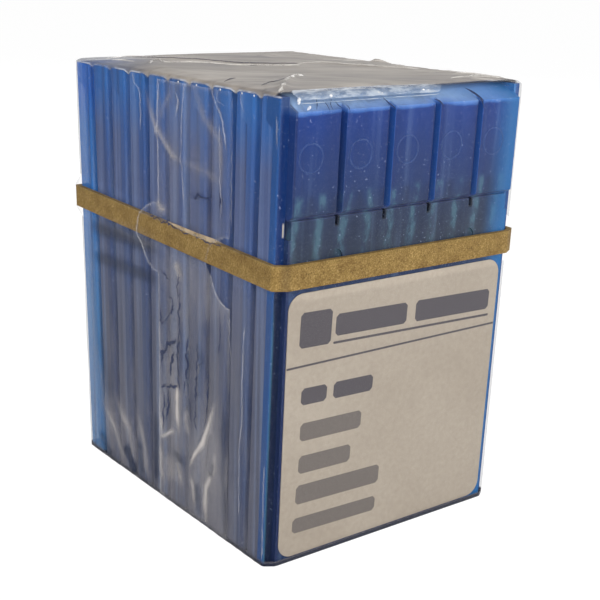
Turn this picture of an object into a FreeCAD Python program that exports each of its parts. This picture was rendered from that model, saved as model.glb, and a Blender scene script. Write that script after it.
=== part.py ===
import FreeCAD, Part
import math
import os
import Sketcher

# A shrink-wrapped pack of ten flat plastic cases of sewing machine needles, held by a rubber band.
# Millimetres. The pack stands on its foot, with +Z up, X across the labelled face and Y through
# the stack; the labelled face looks towards -Y. The origin is the middle of the foot.
#
# A case is modelled in its own frame: x = 0 is its middle, y = 0 the front plane of its side
# rails, +y its back, and z = 0 its foot. The embossed front panel stands in front of y = 0.

SIZES = {
    # one case
    "case_width": (36.7, "across the front"),
    "case_height": (55.9, "foot to top"),
    "case_depth": (3.65, "front plane of the rails to the back"),
    "wall": (0.8, "front and back walls"),
    "rail": (1.2, "side walls, which show as rails beside the panel"),
    "floor": (1.2, "bottom wall"),
    "crown_wall": (1.9, "top wall"),
    "corner_radius": (0.4, "upright outer edges"),
    "back_chamfer": (0.5, "top edge at the back"),
    # where tray and cover part, seen from the side
    "parting_depth": (1.25, "depth of the cover's side walls"),
    "crown_depth": (2.6, "depth of the cover at its top"),
    "crown_height": (2.8, "height of that deeper top"),
    "crown_jog": (0.9, "height of the sloped step under it"),
    # embossed panel of the cover
    "panel_proud": (0.7, "how far the panel stands out"),
    "panel_foot": (0.4, "its lower edge above the foot"),
    "panel_inset": (1.2, "its side edges from the sides of the case"),
    "lobe_proud": (0.4, "how far the lobes stand out of the panel"),
    "lobe_count": (5, "lobes across the panel"),
    "lobe_pitch": (7.0, "lobe to lobe"),
    "flap_height": (13.3, "lower edge of the lobes to the top of the case"),
    "lobe_foot": ("=case_height - flap_height", "that edge above the foot"),
    "lobe_step": (0.3, "height of the slope at that edge"),
    "brow_height": (1.5, "upper edge of the lobes' flat front to the top of the case"),
    "lobe_brow": ("=case_height - brow_height", "that edge above the foot"),
    "groove_width": (0.9, "groove between two lobes"),
    "hinge_width": (0.25, "thinned line across the panel under the lobes"),
    "hinge_depth": (0.3, "depth of that line"),
    "slit_width": (0.35, "slit under each groove"),
    "slit_height": (1.0, "its height"),
    "side_slit_height": (2.1, "height of the slits beside the panel"),
    "detent_radius": (1.2, "round dimples under the outer grooves"),
    "detent_depth": (0.3, "depth of a dimple"),
    "detent_drop": (5.2, "their centres below the lobes"),
    "detent_height": ("=lobe_foot - detent_drop", "their centres above the foot"),
    # needles
    "needle_count": (10, "needles in a case"),
    "needle_pitch": (3.5, "needle to needle"),
    "needle_axis": (1.7, "depth of the needle axes"),
    "needle_foot": (4.6, "points of the needles above the foot"),
    "needle_length": (38.9, "butt to point"),
    "butt_height": ("=needle_foot + needle_length", "top ends of the needles above the foot"),
    "shank_diameter": (1.62, "thick upper part"),
    "shank_length": (10.5, "butt to shoulder"),
    "shoulder_length": (1.8, "cone from shank to blade"),
    "blade_diameter": (1.0, "thin lower part"),
    "butt_chamfer": (0.2, "bevel of the butt"),
    "eye_rise": (3.7, "point to the lower end of the eye"),
    "eye_low": ("=needle_foot + eye_rise", "that end above the foot"),
    "eye_length": (1.3, "length of the eye"),
    "eye_top": ("=eye_low + eye_length", "upper end of the eye above the foot"),
    "eye_width": (0.4, "width of the eye"),
    "point_length": (3.2, "cone at the point"),
    "point_radius": (0.06, "rounded end of the point"),
    "thread_groove_depth": (0.35, "long groove in front"),
    "scarf_length": (3.2, "flat behind and above the eye"),
    "scarf_depth": (0.3, "how deep that flat is"),
    # combs of the tray
    "comb_height": (2.0, "each comb, along the needles"),
    "comb_gap": (0.05, "clearance round a needle"),
    "comb_front": (0.1, "from the parting plane to the combs"),
    "point_comb_foot": (13.5, "lower comb above the foot"),
    # label
    "label_width": (33.5, "across"),
    "label_foot": (0.6, "lower edge above the foot"),
    "label_drop": (8.7, "upper edge below the lobes"),
    "label_height": ("=lobe_foot - label_drop - label_foot", "upright"),
    "label_corner": (2.0, "corner radius"),
    "label_thickness": (0.1, "paper"),
    # the stack
    "case_count": (10, "cases in the pack"),
    "seat_gap": (0.05, "between a case and the one in front"),
    # rubber band
    "band_drop": (6.5, "middle of the band below the lobes, at the front"),
    "band_height": ("=lobe_foot - band_drop", "middle of the band above the foot"),
    "band_rise": (1.25, "how much higher it lies at the back"),
    "band_width": (2.9, "flat width"),
    "band_thickness": (0.6, "stretched thickness"),
    "band_gap": (0.02, "band to the cases"),
    "wrap_corner": (0.35, "corner radius of the band and the film"),
    # film
    "film_thickness": (0.06, "one layer"),
    "film_gap": (0.04, "film to what it wraps"),
    "film_drape": (1.4, "height over which it runs out to the band"),
    "gather_width": (1.1, "gathers of the film, at their foot"),
    "gather_height": (0.35, "how far they stand up"),
    # lap of the film on the left face
    "lap_front": (-14.4, "front edge, from the middle of the stack"),
    "lap_back": (2.0, "back edge"),
    "lap_foot": (0.4, "lower end above the foot"),
    "lap_top": ("=case_height - lap_foot", "upper end"),
    "bite_radius": (4.3, "half-round cut in the front edge"),
    "bite_drop": (1.5, "its centre below the middle of the band"),
    "bite_height": ("=band_height - bite_drop", "its centre above the foot"),
    "tab_radius": (4.5, "half-round tab on the back edge"),
    "tab_drop": (0.4, "its centre below the middle of the band"),
    "tab_height": ("=band_height - tab_drop", "its centre above the foot"),
}

# Lines of the gathers, as shares: of half the width and half the depth on the top, and of half
# the depth and the whole height on the left face and its lap
TOP_GATHERS = [
    [(-0.70, 0.93), (-0.35, 0.77), (0.01, 0.46), (0.28, 0.19)],
    [(-0.71, 0.53), (-0.61, 0.50), (-0.50, 0.48)],
    [(-0.39, -0.37), (-0.73, -0.58), (-0.94, -0.82)],
    [(-0.92, -0.90), (-0.43, -0.89), (0.25, -0.85)],
    [(0.40, 0.23), (0.67, 0.36), (0.94, 0.39)],
    [(0.18, 0.52), (0.48, 0.70), (0.67, 0.93)],
    [(0.45, -0.14), (0.70, -0.16), (0.95, -0.11)],
    [(0.52, -0.56), (0.73, -0.50), (0.95, -0.55)],
]
SIDE_GATHERS = [
    [(-0.67, 0.26), (-0.66, 0.16), (-0.66, 0.05)],
    [(-0.87, 0.20), (-0.86, 0.13), (-0.87, 0.06)],
    [(0.31, 0.94), (0.21, 0.92), (0.14, 0.90)],
    [(0.50, 0.25), (0.48, 0.15), (0.52, 0.05)],
]
LAP_GATHERS = [
    [(0.03, 0.86), (-0.07, 0.84), (-0.14, 0.81)],
    [(-0.43, 0.31), (-0.38, 0.23), (-0.20, 0.12)],
    [(-0.09, 0.28), (-0.10, 0.24), (-0.10, 0.19)],
    [(-0.02, 0.17), (-0.25, 0.10), (-0.45, 0.04)],
]

# Expressions that several sketches share
INNER_HALF = "(Dims.case_width / 2 - Dims.rail)"
PANEL_HALF = "(Dims.case_width / 2 - Dims.panel_inset)"
LOBE_FRONT = "(Dims.panel_proud + Dims.lobe_proud)"
CROWN_FOOT = "(Dims.case_height - Dims.crown_height)"
CAVITY_TOP = "(Dims.case_height - Dims.crown_wall)"

# The first case is seen from the front and has every detail; the others have the plainer form
FULL, PLAIN = "full", "plain"

doc = FreeCAD.newDocument("NeedlePack")
sheet = doc.addObject("Spreadsheet::Sheet", "Dims")


def fill_sheet():
    for row, (alias, (value, note)) in enumerate(SIZES.items(), start=1):
        sheet.set(f"A{row}", alias)
        sheet.set(f"B{row}", str(value))
        sheet.set(f"C{row}", note)
        sheet.setAlias(f"B{row}", alias)
    doc.recompute()


def size(alias):
    return float(sheet.get(alias))


# Sketches and features


def origin_feature(body, role):
    return next(item for item in body.Origin.OriginFeatures if item.Role == role)


def sketch_on(body, role, name, offset=None):
    """A sketch on one of the body's origin planes, moved along its normal by an expression."""
    sketch = body.newObject("Sketcher::SketchObject", name)
    sketch.AttachmentSupport = [(origin_feature(body, role), "")]
    sketch.MapMode = "FlatFace"
    if offset:
        sketch.setExpression("AttachmentOffset.Base.z", offset)
    return sketch


def bind(sketch, kind, edge, point, expression):
    """Hold one coordinate of a sketch point to an expression of the sheet."""
    value = float(sketch.evalExpression(expression))
    index = sketch.addConstraint(Sketcher.Constraint(kind, -1, 1, edge, point, value))
    sketch.setExpression(f"Constraints[{index}]", expression)


def polygon(sketch, corners):
    """A closed outline through corners that are given as pairs of expressions."""
    points = [
        FreeCAD.Vector(float(sketch.evalExpression(across)), float(sketch.evalExpression(up)), 0)
        for across, up in corners
    ]
    first = sketch.GeometryCount
    count = len(points)
    for index in range(count):
        sketch.addGeometry(Part.LineSegment(points[index], points[(index + 1) % count]))
    for index, (across, up) in enumerate(corners):
        following = first + (index + 1) % count
        sketch.addConstraint(Sketcher.Constraint("Coincident", first + index, 2, following, 1))
        bind(sketch, "DistanceX", first + index, 1, across)
        bind(sketch, "DistanceY", first + index, 1, up)


def rectangle(sketch, left, low, right, high):
    polygon(sketch, [(left, low), (right, low), (right, high), (left, high)])


def circle(sketch, across, up, radius):
    centre = FreeCAD.Vector(
        float(sketch.evalExpression(across)), float(sketch.evalExpression(up)), 0
    )
    start = float(sketch.evalExpression(radius))
    edge = sketch.addGeometry(Part.Circle(centre, FreeCAD.Vector(0, 0, 1), start))
    bind(sketch, "DistanceX", edge, 3, across)
    bind(sketch, "DistanceY", edge, 3, up)
    index = sketch.addConstraint(Sketcher.Constraint("Radius", edge, start))
    sketch.setExpression(f"Constraints[{index}]", radius)


def pad(body, sketch, length, name, midplane=False, reverse=False):
    feature = body.newObject("PartDesign::Pad", name)
    feature.Profile = sketch
    feature.setExpression("Length", length)
    feature.Midplane = midplane
    feature.Reversed = reverse
    return feature


def pocket(body, sketch, name, length=None, midplane=False, reverse=False):
    """Cut the sketch to a depth, or through all where no depth is given."""
    feature = body.newObject("PartDesign::Pocket", name)
    feature.Profile = sketch
    if length:
        feature.setExpression("Length", length)
    else:
        feature.Type = "ThroughAll"
    feature.Midplane = midplane
    feature.Reversed = reverse
    return feature


def row_of(body, feature, name, span, count, role="X_Axis"):
    """Repeat a feature along an axis; span is from the first to the last."""
    pattern = body.newObject("PartDesign::LinearPattern", name)
    pattern.Originals = [feature]
    pattern.Direction = (origin_feature(body, role), [""])
    pattern.setExpression("Length", span)
    pattern.setExpression("Occurrences", count)
    body.Tip = pattern
    return pattern


def upright_edges(shape, depth):
    """Names of the upright edges at the sides of the case that lie at this depth."""
    half = size("case_width") / 2
    names = []
    for index, edge in enumerate(shape.Edges, start=1):
        box = edge.BoundBox
        at_depth = abs(box.YMin - depth) < 1e-4 and abs(box.YMax - depth) < 1e-4
        at_side = abs(abs(box.XMin) - half) < 1e-4 and box.XLength < 1e-4
        if at_depth and at_side and box.ZLength > size("case_height") / 2:
            names.append(f"Edge{index}")
    return names


def round_uprights(body, depth, name):
    """Round the two upright outer edges of the case at this depth."""
    doc.recompute()
    base = body.Tip
    fillet = body.newObject("PartDesign::Fillet", name)
    fillet.Base = (base, upright_edges(base.Shape, depth))
    fillet.setExpression("Radius", "Dims.corner_radius")


# The tray: back wall, side walls, floor, top and the two combs that carry the needles


def add_comb(body, name, foot, detail):
    """A bar across the back wall with one open notch for each needle's blade."""
    front = "(Dims.parting_depth + Dims.comb_front)"
    notch_half = "(Dims.blade_diameter / 2 + Dims.comb_gap)"
    first = "(0 - Dims.needle_pitch * (Dims.needle_count - 1) / 2)"
    back = "(Dims.case_depth - Dims.wall / 2)"
    bar = sketch_on(body, "XY_Plane", f"{name}_bar_outline", foot)
    rectangle(bar, f"-{INNER_HALF} - Dims.rail / 2", front, f"{INNER_HALF} + Dims.rail / 2", back)
    pad(body, bar, "Dims.comb_height", f"{name}_bar")
    mouth = sketch_on(body, "XY_Plane", f"{name}_notch_outline", foot)
    low = "Dims.needle_axis" if detail == FULL else f"Dims.needle_axis + {notch_half}"
    rectangle(mouth, f"{first} - {notch_half}", f"{front} - Dims.wall", f"{first} + {notch_half}", low)
    notch = pocket(body, mouth, f"{name}_notch", "Dims.comb_height", reverse=True)
    row_of(body, notch, f"{name}_notches", "Dims.needle_pitch * (Dims.needle_count - 1)",
           "Dims.needle_count")
    if detail == FULL:
        seat = sketch_on(body, "XY_Plane", f"{name}_seat_outline", foot)
        circle(seat, first, "Dims.needle_axis", notch_half)
        bed = pocket(body, seat, f"{name}_seat", "Dims.comb_height", reverse=True)
        row_of(body, bed, f"{name}_seats", "Dims.needle_pitch * (Dims.needle_count - 1)",
               "Dims.needle_count")


def tray(detail):
    """Rear shell of a case, with the stepped parting line at its top."""
    body = doc.addObject("PartDesign::Body", f"tray_{detail}")
    side = sketch_on(body, "YZ_Plane", "tray_side_outline")
    polygon(side, [
        ("Dims.parting_depth", "0"),
        ("Dims.case_depth", "0"),
        ("Dims.case_depth", "Dims.case_height - Dims.back_chamfer"),
        ("Dims.case_depth - Dims.back_chamfer", "Dims.case_height"),
        ("Dims.crown_depth", "Dims.case_height"),
        ("Dims.crown_depth", CROWN_FOOT),
        ("Dims.parting_depth", f"{CROWN_FOOT} - Dims.crown_jog"),
    ])
    pad(body, side, "Dims.case_width", "tray_block", midplane=True)
    hollow = sketch_on(body, "XZ_Plane", "tray_hollow_outline")
    rectangle(hollow, f"-{INNER_HALF}", "Dims.floor", INNER_HALF, CAVITY_TOP)
    pocket(body, hollow, "tray_hollow", "Dims.case_depth - Dims.wall")
    shoulder_comb = "Dims.butt_height - Dims.shank_length - Dims.shoulder_length - Dims.comb_height"
    add_comb(body, "shoulder_comb", shoulder_comb, detail)
    if detail == FULL:
        add_comb(body, "point_comb", "Dims.point_comb_foot", detail)
    round_uprights(body, size("case_depth"), "tray_rounding")
    return body


# The cover: side rails, the embossed panel and the five lobes of its flap


def add_shell(body):
    """Side rails with the deeper crown, and the panel embossed between them."""
    side = sketch_on(body, "YZ_Plane", "rail_side_outline")
    polygon(side, [
        ("0", "0"),
        ("Dims.parting_depth", "0"),
        ("Dims.parting_depth", f"{CROWN_FOOT} - Dims.crown_jog"),
        ("Dims.crown_depth", CROWN_FOOT),
        ("Dims.crown_depth", "Dims.case_height"),
        ("0", "Dims.case_height"),
    ])
    pad(body, side, "Dims.case_width", "rail_block", midplane=True)
    panel = sketch_on(body, "YZ_Plane", "panel_side_outline")
    polygon(panel, [
        ("Dims.wall / 2", "Dims.panel_foot"),
        ("-Dims.panel_proud", "Dims.panel_foot"),
        ("-Dims.panel_proud", "Dims.lobe_foot"),
        (f"-{LOBE_FRONT}", "Dims.lobe_foot + Dims.lobe_step"),
        (f"-{LOBE_FRONT}", "Dims.case_height"),
        ("Dims.wall / 2", "Dims.case_height"),
    ])
    pad(body, panel, f"2 * {PANEL_HALF}", "panel_block", midplane=True)
    round_uprights(body, 0.0, "rail_rounding")


def add_brow(body):
    """The slope that falls from the top of the case to the lobes, between the rails."""
    slope = sketch_on(body, "YZ_Plane", "brow_outline")
    polygon(slope, [
        (f"-{LOBE_FRONT} - Dims.wall", "Dims.lobe_brow"),
        (f"-{LOBE_FRONT}", "Dims.lobe_brow"),
        ("Dims.crown_depth - Dims.wall / 2", "Dims.case_height"),
        ("Dims.crown_depth - Dims.wall / 2", "Dims.case_height + Dims.wall"),
        (f"-{LOBE_FRONT} - Dims.wall", "Dims.case_height + Dims.wall"),
    ])
    pocket(body, slope, "brow", f"2 * {PANEL_HALF}", midplane=True)


def add_grooves(body):
    """Grooves between the lobes, down to the plane of the rails."""
    outline = sketch_on(body, "XZ_Plane", "groove_outline")
    first = "(0 - Dims.lobe_pitch * (Dims.lobe_count - 2) / 2)"
    rectangle(outline, f"{first} - Dims.groove_width / 2", "Dims.lobe_foot",
              f"{first} + Dims.groove_width / 2", "Dims.case_height + Dims.wall")
    groove = pocket(body, outline, "groove", f"{LOBE_FRONT} + Dims.wall", reverse=True)
    row_of(body, groove, "grooves", "Dims.lobe_pitch * (Dims.lobe_count - 2)",
           "Dims.lobe_count - 1")


def add_hollows(body):
    """The cavity behind the front wall, and the hollow inside the panel and inside each lobe."""
    cavity = sketch_on(body, "XZ_Plane", "cover_cavity_outline", "-Dims.crown_depth")
    rectangle(cavity, f"-{INNER_HALF}", "Dims.floor", INNER_HALF, CAVITY_TOP)
    pocket(body, cavity, "cover_cavity", "Dims.crown_depth - Dims.wall", reverse=True)
    inside = sketch_on(body, "XZ_Plane", "panel_hollow_outline", "-Dims.wall")
    rectangle(inside, f"-{PANEL_HALF} + Dims.wall", "Dims.floor", f"{PANEL_HALF} - Dims.wall",
              "Dims.lobe_foot - Dims.wall")
    pocket(body, inside, "panel_hollow", "Dims.panel_proud", reverse=True)
    lobe = sketch_on(body, "XZ_Plane", "lobe_hollow_outline", "-Dims.wall")
    first = "(0 - Dims.lobe_pitch * (Dims.lobe_count - 1) / 2)"
    half = "(Dims.lobe_pitch / 2 - Dims.groove_width / 2 - Dims.wall)"
    rectangle(lobe, f"{first} - {half}", "Dims.lobe_foot + Dims.wall", f"{first} + {half}",
              "Dims.lobe_brow - Dims.wall")
    hollow = pocket(body, lobe, "lobe_hollow", LOBE_FRONT, reverse=True)
    row_of(body, hollow, "lobe_hollows", "Dims.lobe_pitch * (Dims.lobe_count - 1)",
           "Dims.lobe_count")


def add_flap_details(body):
    """Hinge line, slits under the grooves, slits beside the panel, and the two dimples."""
    line = sketch_on(body, "XZ_Plane", "hinge_outline", "Dims.panel_proud")
    rectangle(line, f"-{PANEL_HALF}", "Dims.lobe_foot - Dims.hinge_width", PANEL_HALF,
              "Dims.lobe_foot")
    pocket(body, line, "hinge_line", "Dims.hinge_depth")
    outline = sketch_on(body, "XZ_Plane", "slit_outline", "Dims.panel_proud")
    first = "(0 - Dims.lobe_pitch * (Dims.lobe_count - 2) / 2)"
    top = "Dims.lobe_foot - Dims.hinge_width"
    rectangle(outline, f"{first} - Dims.slit_width / 2", f"{top} - Dims.slit_height",
              f"{first} + Dims.slit_width / 2", top)
    slit = pocket(body, outline, "slit", "Dims.panel_proud + Dims.wall")
    row_of(body, slit, "slits", "Dims.lobe_pitch * (Dims.lobe_count - 2)", "Dims.lobe_count - 1")
    sides = sketch_on(body, "XZ_Plane", "side_slit_outline", "Dims.panel_proud")
    for edge, inner in ((f"-{PANEL_HALF}", f"-{PANEL_HALF} + Dims.slit_width"),
                        (f"{PANEL_HALF} - Dims.slit_width", PANEL_HALF)):
        rectangle(sides, edge, f"{top} - Dims.side_slit_height", inner, top)
    pocket(body, sides, "side_slits", "Dims.panel_proud + Dims.wall")
    dimples = sketch_on(body, "XZ_Plane", "detent_outline", "Dims.panel_proud")
    outer_groove = "Dims.lobe_pitch * (Dims.lobe_count - 2) / 2"
    for across in (f"0 - {outer_groove}", outer_groove):
        circle(dimples, across, "Dims.detent_height", "Dims.detent_radius")
    pocket(body, dimples, "detents", "Dims.detent_depth")


def cover(detail):
    body = doc.addObject("PartDesign::Body", f"cover_{detail}")
    add_shell(body)
    add_brow(body)
    add_grooves(body)
    add_hollows(body)
    if detail == FULL:
        add_flap_details(body)
    return body


# Solids of flat faces, for the hidden needles and the film


def flat_faces(corners):
    """One face through four corners, or two triangles where the corners aren't in one plane."""
    first, second, third, fourth = corners
    normal = (second - first).cross(third - first)
    if abs(normal.normalize().dot(fourth - first)) < 1e-9:
        return [corners]
    return [[first, second, third], [first, third, fourth]]


def faceted(rings):
    """A closed solid through rings of equally many corners, with flat ends."""
    outlines = [rings[0], rings[-1]]
    for low, high in zip(rings, rings[1:]):
        for index in range(len(low)):
            outlines += flat_faces([low[index - 1], low[index], high[index], high[index - 1]])
    shell = Part.makeShell([Part.Face(Part.makePolygon(line + line[:1])) for line in outlines])
    shell.sewShape()
    solid = Part.makeSolid(shell)
    if solid.Volume < 0:
        solid.reverse()
    return solid


# Needles, each upright with its butt on top


def needle_heights():
    """Heights of the needle's stations above the foot of the case."""
    butt = size("butt_height")
    shoulder = butt - size("shank_length")
    return {
        "butt": butt,
        "shoulder": shoulder,
        "blade": shoulder - size("shoulder_length"),
        "point": size("needle_foot"),
    }


def full_needle():
    """Round needle with its long groove, scarf, eye and point."""
    body = doc.addObject("PartDesign::Body", "needle_full")
    butt = "Dims.butt_height"
    blade_top = f"{butt} - Dims.shank_length - Dims.shoulder_length"
    point = "Dims.needle_foot"
    half = sketch_on(body, "XZ_Plane", "needle_half_outline")
    polygon(half, [
        ("0", butt),
        ("0", point),
        ("Dims.point_radius", point),
        ("Dims.blade_diameter / 2", f"{point} + Dims.point_length"),
        ("Dims.blade_diameter / 2", blade_top),
        ("Dims.shank_diameter / 2", f"{butt} - Dims.shank_length"),
        ("Dims.shank_diameter / 2", f"{butt} - Dims.butt_chamfer"),
        ("Dims.shank_diameter / 2 - Dims.butt_chamfer", butt),
    ])
    turned = body.newObject("PartDesign::Revolution", "needle_turned")
    turned.Profile = half
    turned.ReferenceAxis = (origin_feature(body, "Z_Axis"), [""])
    turned.Angle = 360
    groove = sketch_on(body, "XZ_Plane", "thread_groove_outline", "Dims.blade_diameter")
    rectangle(groove, "-Dims.eye_width / 2", "Dims.eye_low", "Dims.eye_width / 2",
              f"{blade_top} - Dims.shoulder_length")
    pocket(body, groove, "thread_groove", "Dims.blade_diameter / 2 + Dims.thread_groove_depth")
    scarf = sketch_on(body, "YZ_Plane", "scarf_outline")
    flat = "(Dims.blade_diameter / 2 - Dims.scarf_depth)"
    scarf_top = "Dims.eye_top + Dims.scarf_length"
    polygon(scarf, [
        (flat, "Dims.eye_low"),
        ("Dims.blade_diameter", "Dims.eye_low"),
        ("Dims.blade_diameter", f"{scarf_top} + Dims.scarf_depth * 2"),
        ("Dims.blade_diameter / 2", f"{scarf_top} + Dims.scarf_depth * 2"),
        (flat, scarf_top),
    ])
    pocket(body, scarf, "scarf", "Dims.blade_diameter * 2", midplane=True)
    eye = sketch_on(body, "XZ_Plane", "eye_outline", "Dims.blade_diameter")
    rectangle(eye, "-Dims.eye_width / 2", "Dims.eye_low", "Dims.eye_width / 2", "Dims.eye_top")
    pocket(body, eye, "eye")
    return body


def hexagon(radius, height):
    return [
        FreeCAD.Vector(radius * math.cos(math.radians(turn)), radius * math.sin(math.radians(turn)),
                       height)
        for turn in range(0, 360, 60)
    ]


def plain_needle():
    """The same needle with six flats, for the cases that are hidden in the stack."""
    at = needle_heights()
    shank = size("shank_diameter") / 2
    blade = size("blade_diameter") / 2
    rings = [
        hexagon(shank, at["butt"]),
        hexagon(shank, at["shoulder"]),
        hexagon(blade, at["blade"]),
        hexagon(size("point_radius"), at["point"]),
    ]
    needle = doc.addObject("Part::Feature", "needle_plain")
    needle.Shape = faceted(rings)
    return needle


def needle_row(needle, name):
    """Ten needles side by side, as separate solids of one piece of the pack."""
    pitch = size("needle_pitch")
    count = int(size("needle_count"))
    copies = []
    for index in range(count):
        copy = needle.Shape.copy()
        copy.translate(FreeCAD.Vector((index - (count - 1) / 2) * pitch, size("needle_axis"), 0))
        copies.append(copy)
    row = doc.addObject("Part::Feature", name)
    row.Shape = Part.makeCompound(copies)
    return row


# Paper label on the lower panel


def label(detail):
    body = doc.addObject("PartDesign::Body", f"label_{detail}")
    outline = sketch_on(body, "XZ_Plane", "label_outline", "Dims.panel_proud")
    rectangle(outline, "-Dims.label_width / 2", "Dims.label_foot", "Dims.label_width / 2",
              "Dims.label_foot + Dims.label_height")
    sheet_pad = pad(body, outline, "Dims.label_thickness", "label_sheet")
    if detail == FULL:
        doc.recompute()
        edges = []
        for index, edge in enumerate(sheet_pad.Shape.Edges, start=1):
            box = edge.BoundBox
            if box.XLength < 1e-4 and box.ZLength < 1e-4:
                edges.append(f"Edge{index}")
        corners = body.newObject("PartDesign::Fillet", "label_corners")
        corners.Base = (sheet_pad, edges)
        corners.setExpression("Radius", "Dims.label_corner")
    return body


# The stack: each case leans a little, because its lobes hold the next one off


def lean_step():
    """Angle between two neighbours: they meet at the foot and at the lower edge of the lobes."""
    label_room = size("label_thickness") + size("seat_gap")
    lobe_room = size("lobe_proud") + size("seat_gap")
    return math.atan((lobe_room - label_room) / (size("lobe_foot") + size("lobe_step")))


def lean(index):
    return (index - (size("case_count") - 1) / 2) * lean_step()


def case_origins():
    """Depth and height of each case's own origin; every case stands on its lowest edge."""
    base = size("film_thickness") + size("band_gap")
    room = size("case_depth") + size("panel_proud") + size("label_thickness") + size("seat_gap")
    heights = [
        base + max(0.0, size("case_depth") * math.sin(lean(index)))
        for index in range(int(size("case_count")))
    ]
    depths = [0.0]
    for index in range(1, len(heights)):
        angle = lean(index - 1)
        climb = heights[index] - heights[index - 1]
        depths.append(depths[-1] + (room + climb * math.sin(angle)) / math.cos(angle))
    return list(zip(depths, heights))


class Stack:
    """Where the cases stand, and the planes that the band and the film follow."""

    def __init__(self):
        self.origins = case_origins()
        self.shift = 0.0
        depths = []
        for height, rise, proud, clear in film_levels(self):
            depths += [y for _, y in grow(self.outline(height, rise, proud), clear)]
        self.shift = -(min(depths) + max(depths)) / 2

    def front_at(self, height, proud):
        """Depth of a plane this far in front of the first case's rails, at this height."""
        depth, foot = self.origins[0]
        angle = lean(0)
        return depth + self.shift - proud / math.cos(angle) + (height - foot) * math.tan(angle)

    def back_at(self, height):
        depth, foot = self.origins[-1]
        angle = lean(len(self.origins) - 1)
        rear = depth + self.shift + size("case_depth") / math.cos(angle)
        return rear + (height - foot) * math.tan(angle)

    def placement(self, index):
        depth, height = self.origins[index]
        turn = FreeCAD.Rotation(FreeCAD.Vector(1, 0, 0), -math.degrees(lean(index)))
        return FreeCAD.Placement(FreeCAD.Vector(0, depth + self.shift, height), turn)

    def outline(self, height, rise, proud):
        """Six corners round the stack in a plane that rises towards the back."""
        half = size("case_width") / 2
        panel = half - size("panel_inset")
        front = self.front_at(height, proud)
        rails = self.front_at(height, 0.0)
        back = self.back_at(height)
        back = self.back_at(height + rise * (back - front))
        return [(-half, rails), (-panel, front), (panel, front), (half, rails), (half, back),
                (-half, back)]


# Rings and shells round the stack


def grow(points, distance):
    """Move every side of a closed outline out by a distance."""
    count = len(points)
    lines = []
    for index in range(count):
        (x1, y1), (x2, y2) = points[index], points[(index + 1) % count]
        length = math.hypot(x2 - x1, y2 - y1)
        out_x, out_y = (y2 - y1) / length, -(x2 - x1) / length
        lines.append((x1 + out_x * distance, y1 + out_y * distance, x2 - x1, y2 - y1))
    grown = []
    for index in range(count):
        ax, ay, adx, ady = lines[index - 1]
        bx, by, bdx, bdy = lines[index]
        cross = adx * bdy - ady * bdx
        along = ((bx - ax) * bdy - (by - ay) * bdx) / cross
        grown.append((ax + adx * along, ay + ady * along))
    return grown


def ring(outline, distance, height, rise, steps=3):
    """The outline grown and with rounded corners, in a plane that rises from its front."""
    radius = size("wrap_corner")
    front = min(y for _, y in outline)
    points = grow(outline, distance)
    corners = []
    for index, point in enumerate(points):
        corner = FreeCAD.Vector(*point, 0)
        before = (FreeCAD.Vector(*points[index - 1], 0) - corner).normalize()
        after = (FreeCAD.Vector(*points[(index + 1) % len(points)], 0) - corner).normalize()
        half_angle = before.getAngle(after) / 2
        to_centre = (before + after).normalize()
        centre = corner + to_centre * (radius / math.sin(half_angle))
        reach = math.pi / 2 - half_angle
        for step in range(steps + 1):
            turn = math.degrees(reach * (2 * step / steps - 1))
            spoke = FreeCAD.Rotation(FreeCAD.Vector(0, 0, 1), turn).multVec(to_centre * -radius)
            corners.append(centre + spoke)
    for corner in corners:
        corner.z = height + rise * (corner.y - front)
    return corners


def film_levels(stack):
    """Height, rise, proud of the panel and clearance of each level of the film, foot to top."""
    gap = size("film_gap")
    rise = size("band_rise") / (stack.back_at(size("band_height")) - stack.front_at(0, 0))
    band_low = size("band_height") - size("band_width") / 2
    band_high = size("band_height") + size("band_width") / 2
    over_band = size("band_gap") + size("band_thickness") + gap
    over_label = size("panel_proud") + size("label_thickness")
    over_lobes = size("panel_proud") + size("lobe_proud")
    drape = size("film_drape")
    base = size("film_thickness") + size("band_gap")
    tilt = size("case_depth") * math.sin(lean(size("case_count") - 1))
    top = base + size("case_height") + tilt + gap
    return [
        (0.0, 0.0, over_label, gap),
        (band_low - drape, rise, over_label, gap),
        (band_low, rise, size("panel_proud"), over_band),
        (band_high, rise, size("panel_proud"), over_band),
        (band_high + drape, rise, over_lobes, gap),
        (base + size("lobe_brow"), 0.0, over_lobes, gap),
        (top, 0.0, gap, gap),
    ]


def film_block(stack, extra, lowest, crown):
    """Solid of everything inside the film's surface at this much extra clearance."""
    rings = []
    last = len(film_levels(stack)) - 1
    for index, (height, rise, proud, clear) in enumerate(film_levels(stack)):
        outline = stack.outline(height, rise, proud)
        moved = lowest if index == 0 else crown if index == last else 0.0
        rings.append(ring(outline, clear + extra, height + moved, rise))
    return faceted(rings)


def gather(spine, place):
    """A fold of the film that stands up along a bent line and runs out at both ends."""
    last = len(spine) - 1
    rings = []
    for index, (across, along) in enumerate(spine):
        start, end = spine[max(index - 1, 0)], spine[min(index + 1, last)]
        length = math.hypot(end[0] - start[0], end[1] - start[1])
        share = 0.15 if index in (0, last) else 1.0
        reach = share * size("gather_width") / 2
        side, fore = (start[1] - end[1]) / length * reach, (end[0] - start[0]) / length * reach
        rings.append([
            place(across - side, along - fore, 0.0),
            place(across + side, along + fore, 0.0),
            place(across, along, share * size("gather_height")),
        ])
    return faceted(rings)


def top_gathers(stack, clear):
    """Gathers that stand on the top face of the film."""
    half_width = size("case_width") / 2
    top = film_levels(stack)[-1][0]
    half_depth = stack.back_at(top)
    spines = [[(x * half_width, y * half_depth) for x, y in line] for line in TOP_GATHERS]
    return [
        gather(spine, lambda x, y, rise: FreeCAD.Vector(x, y, top + clear + rise))
        for spine in spines
    ]


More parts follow.
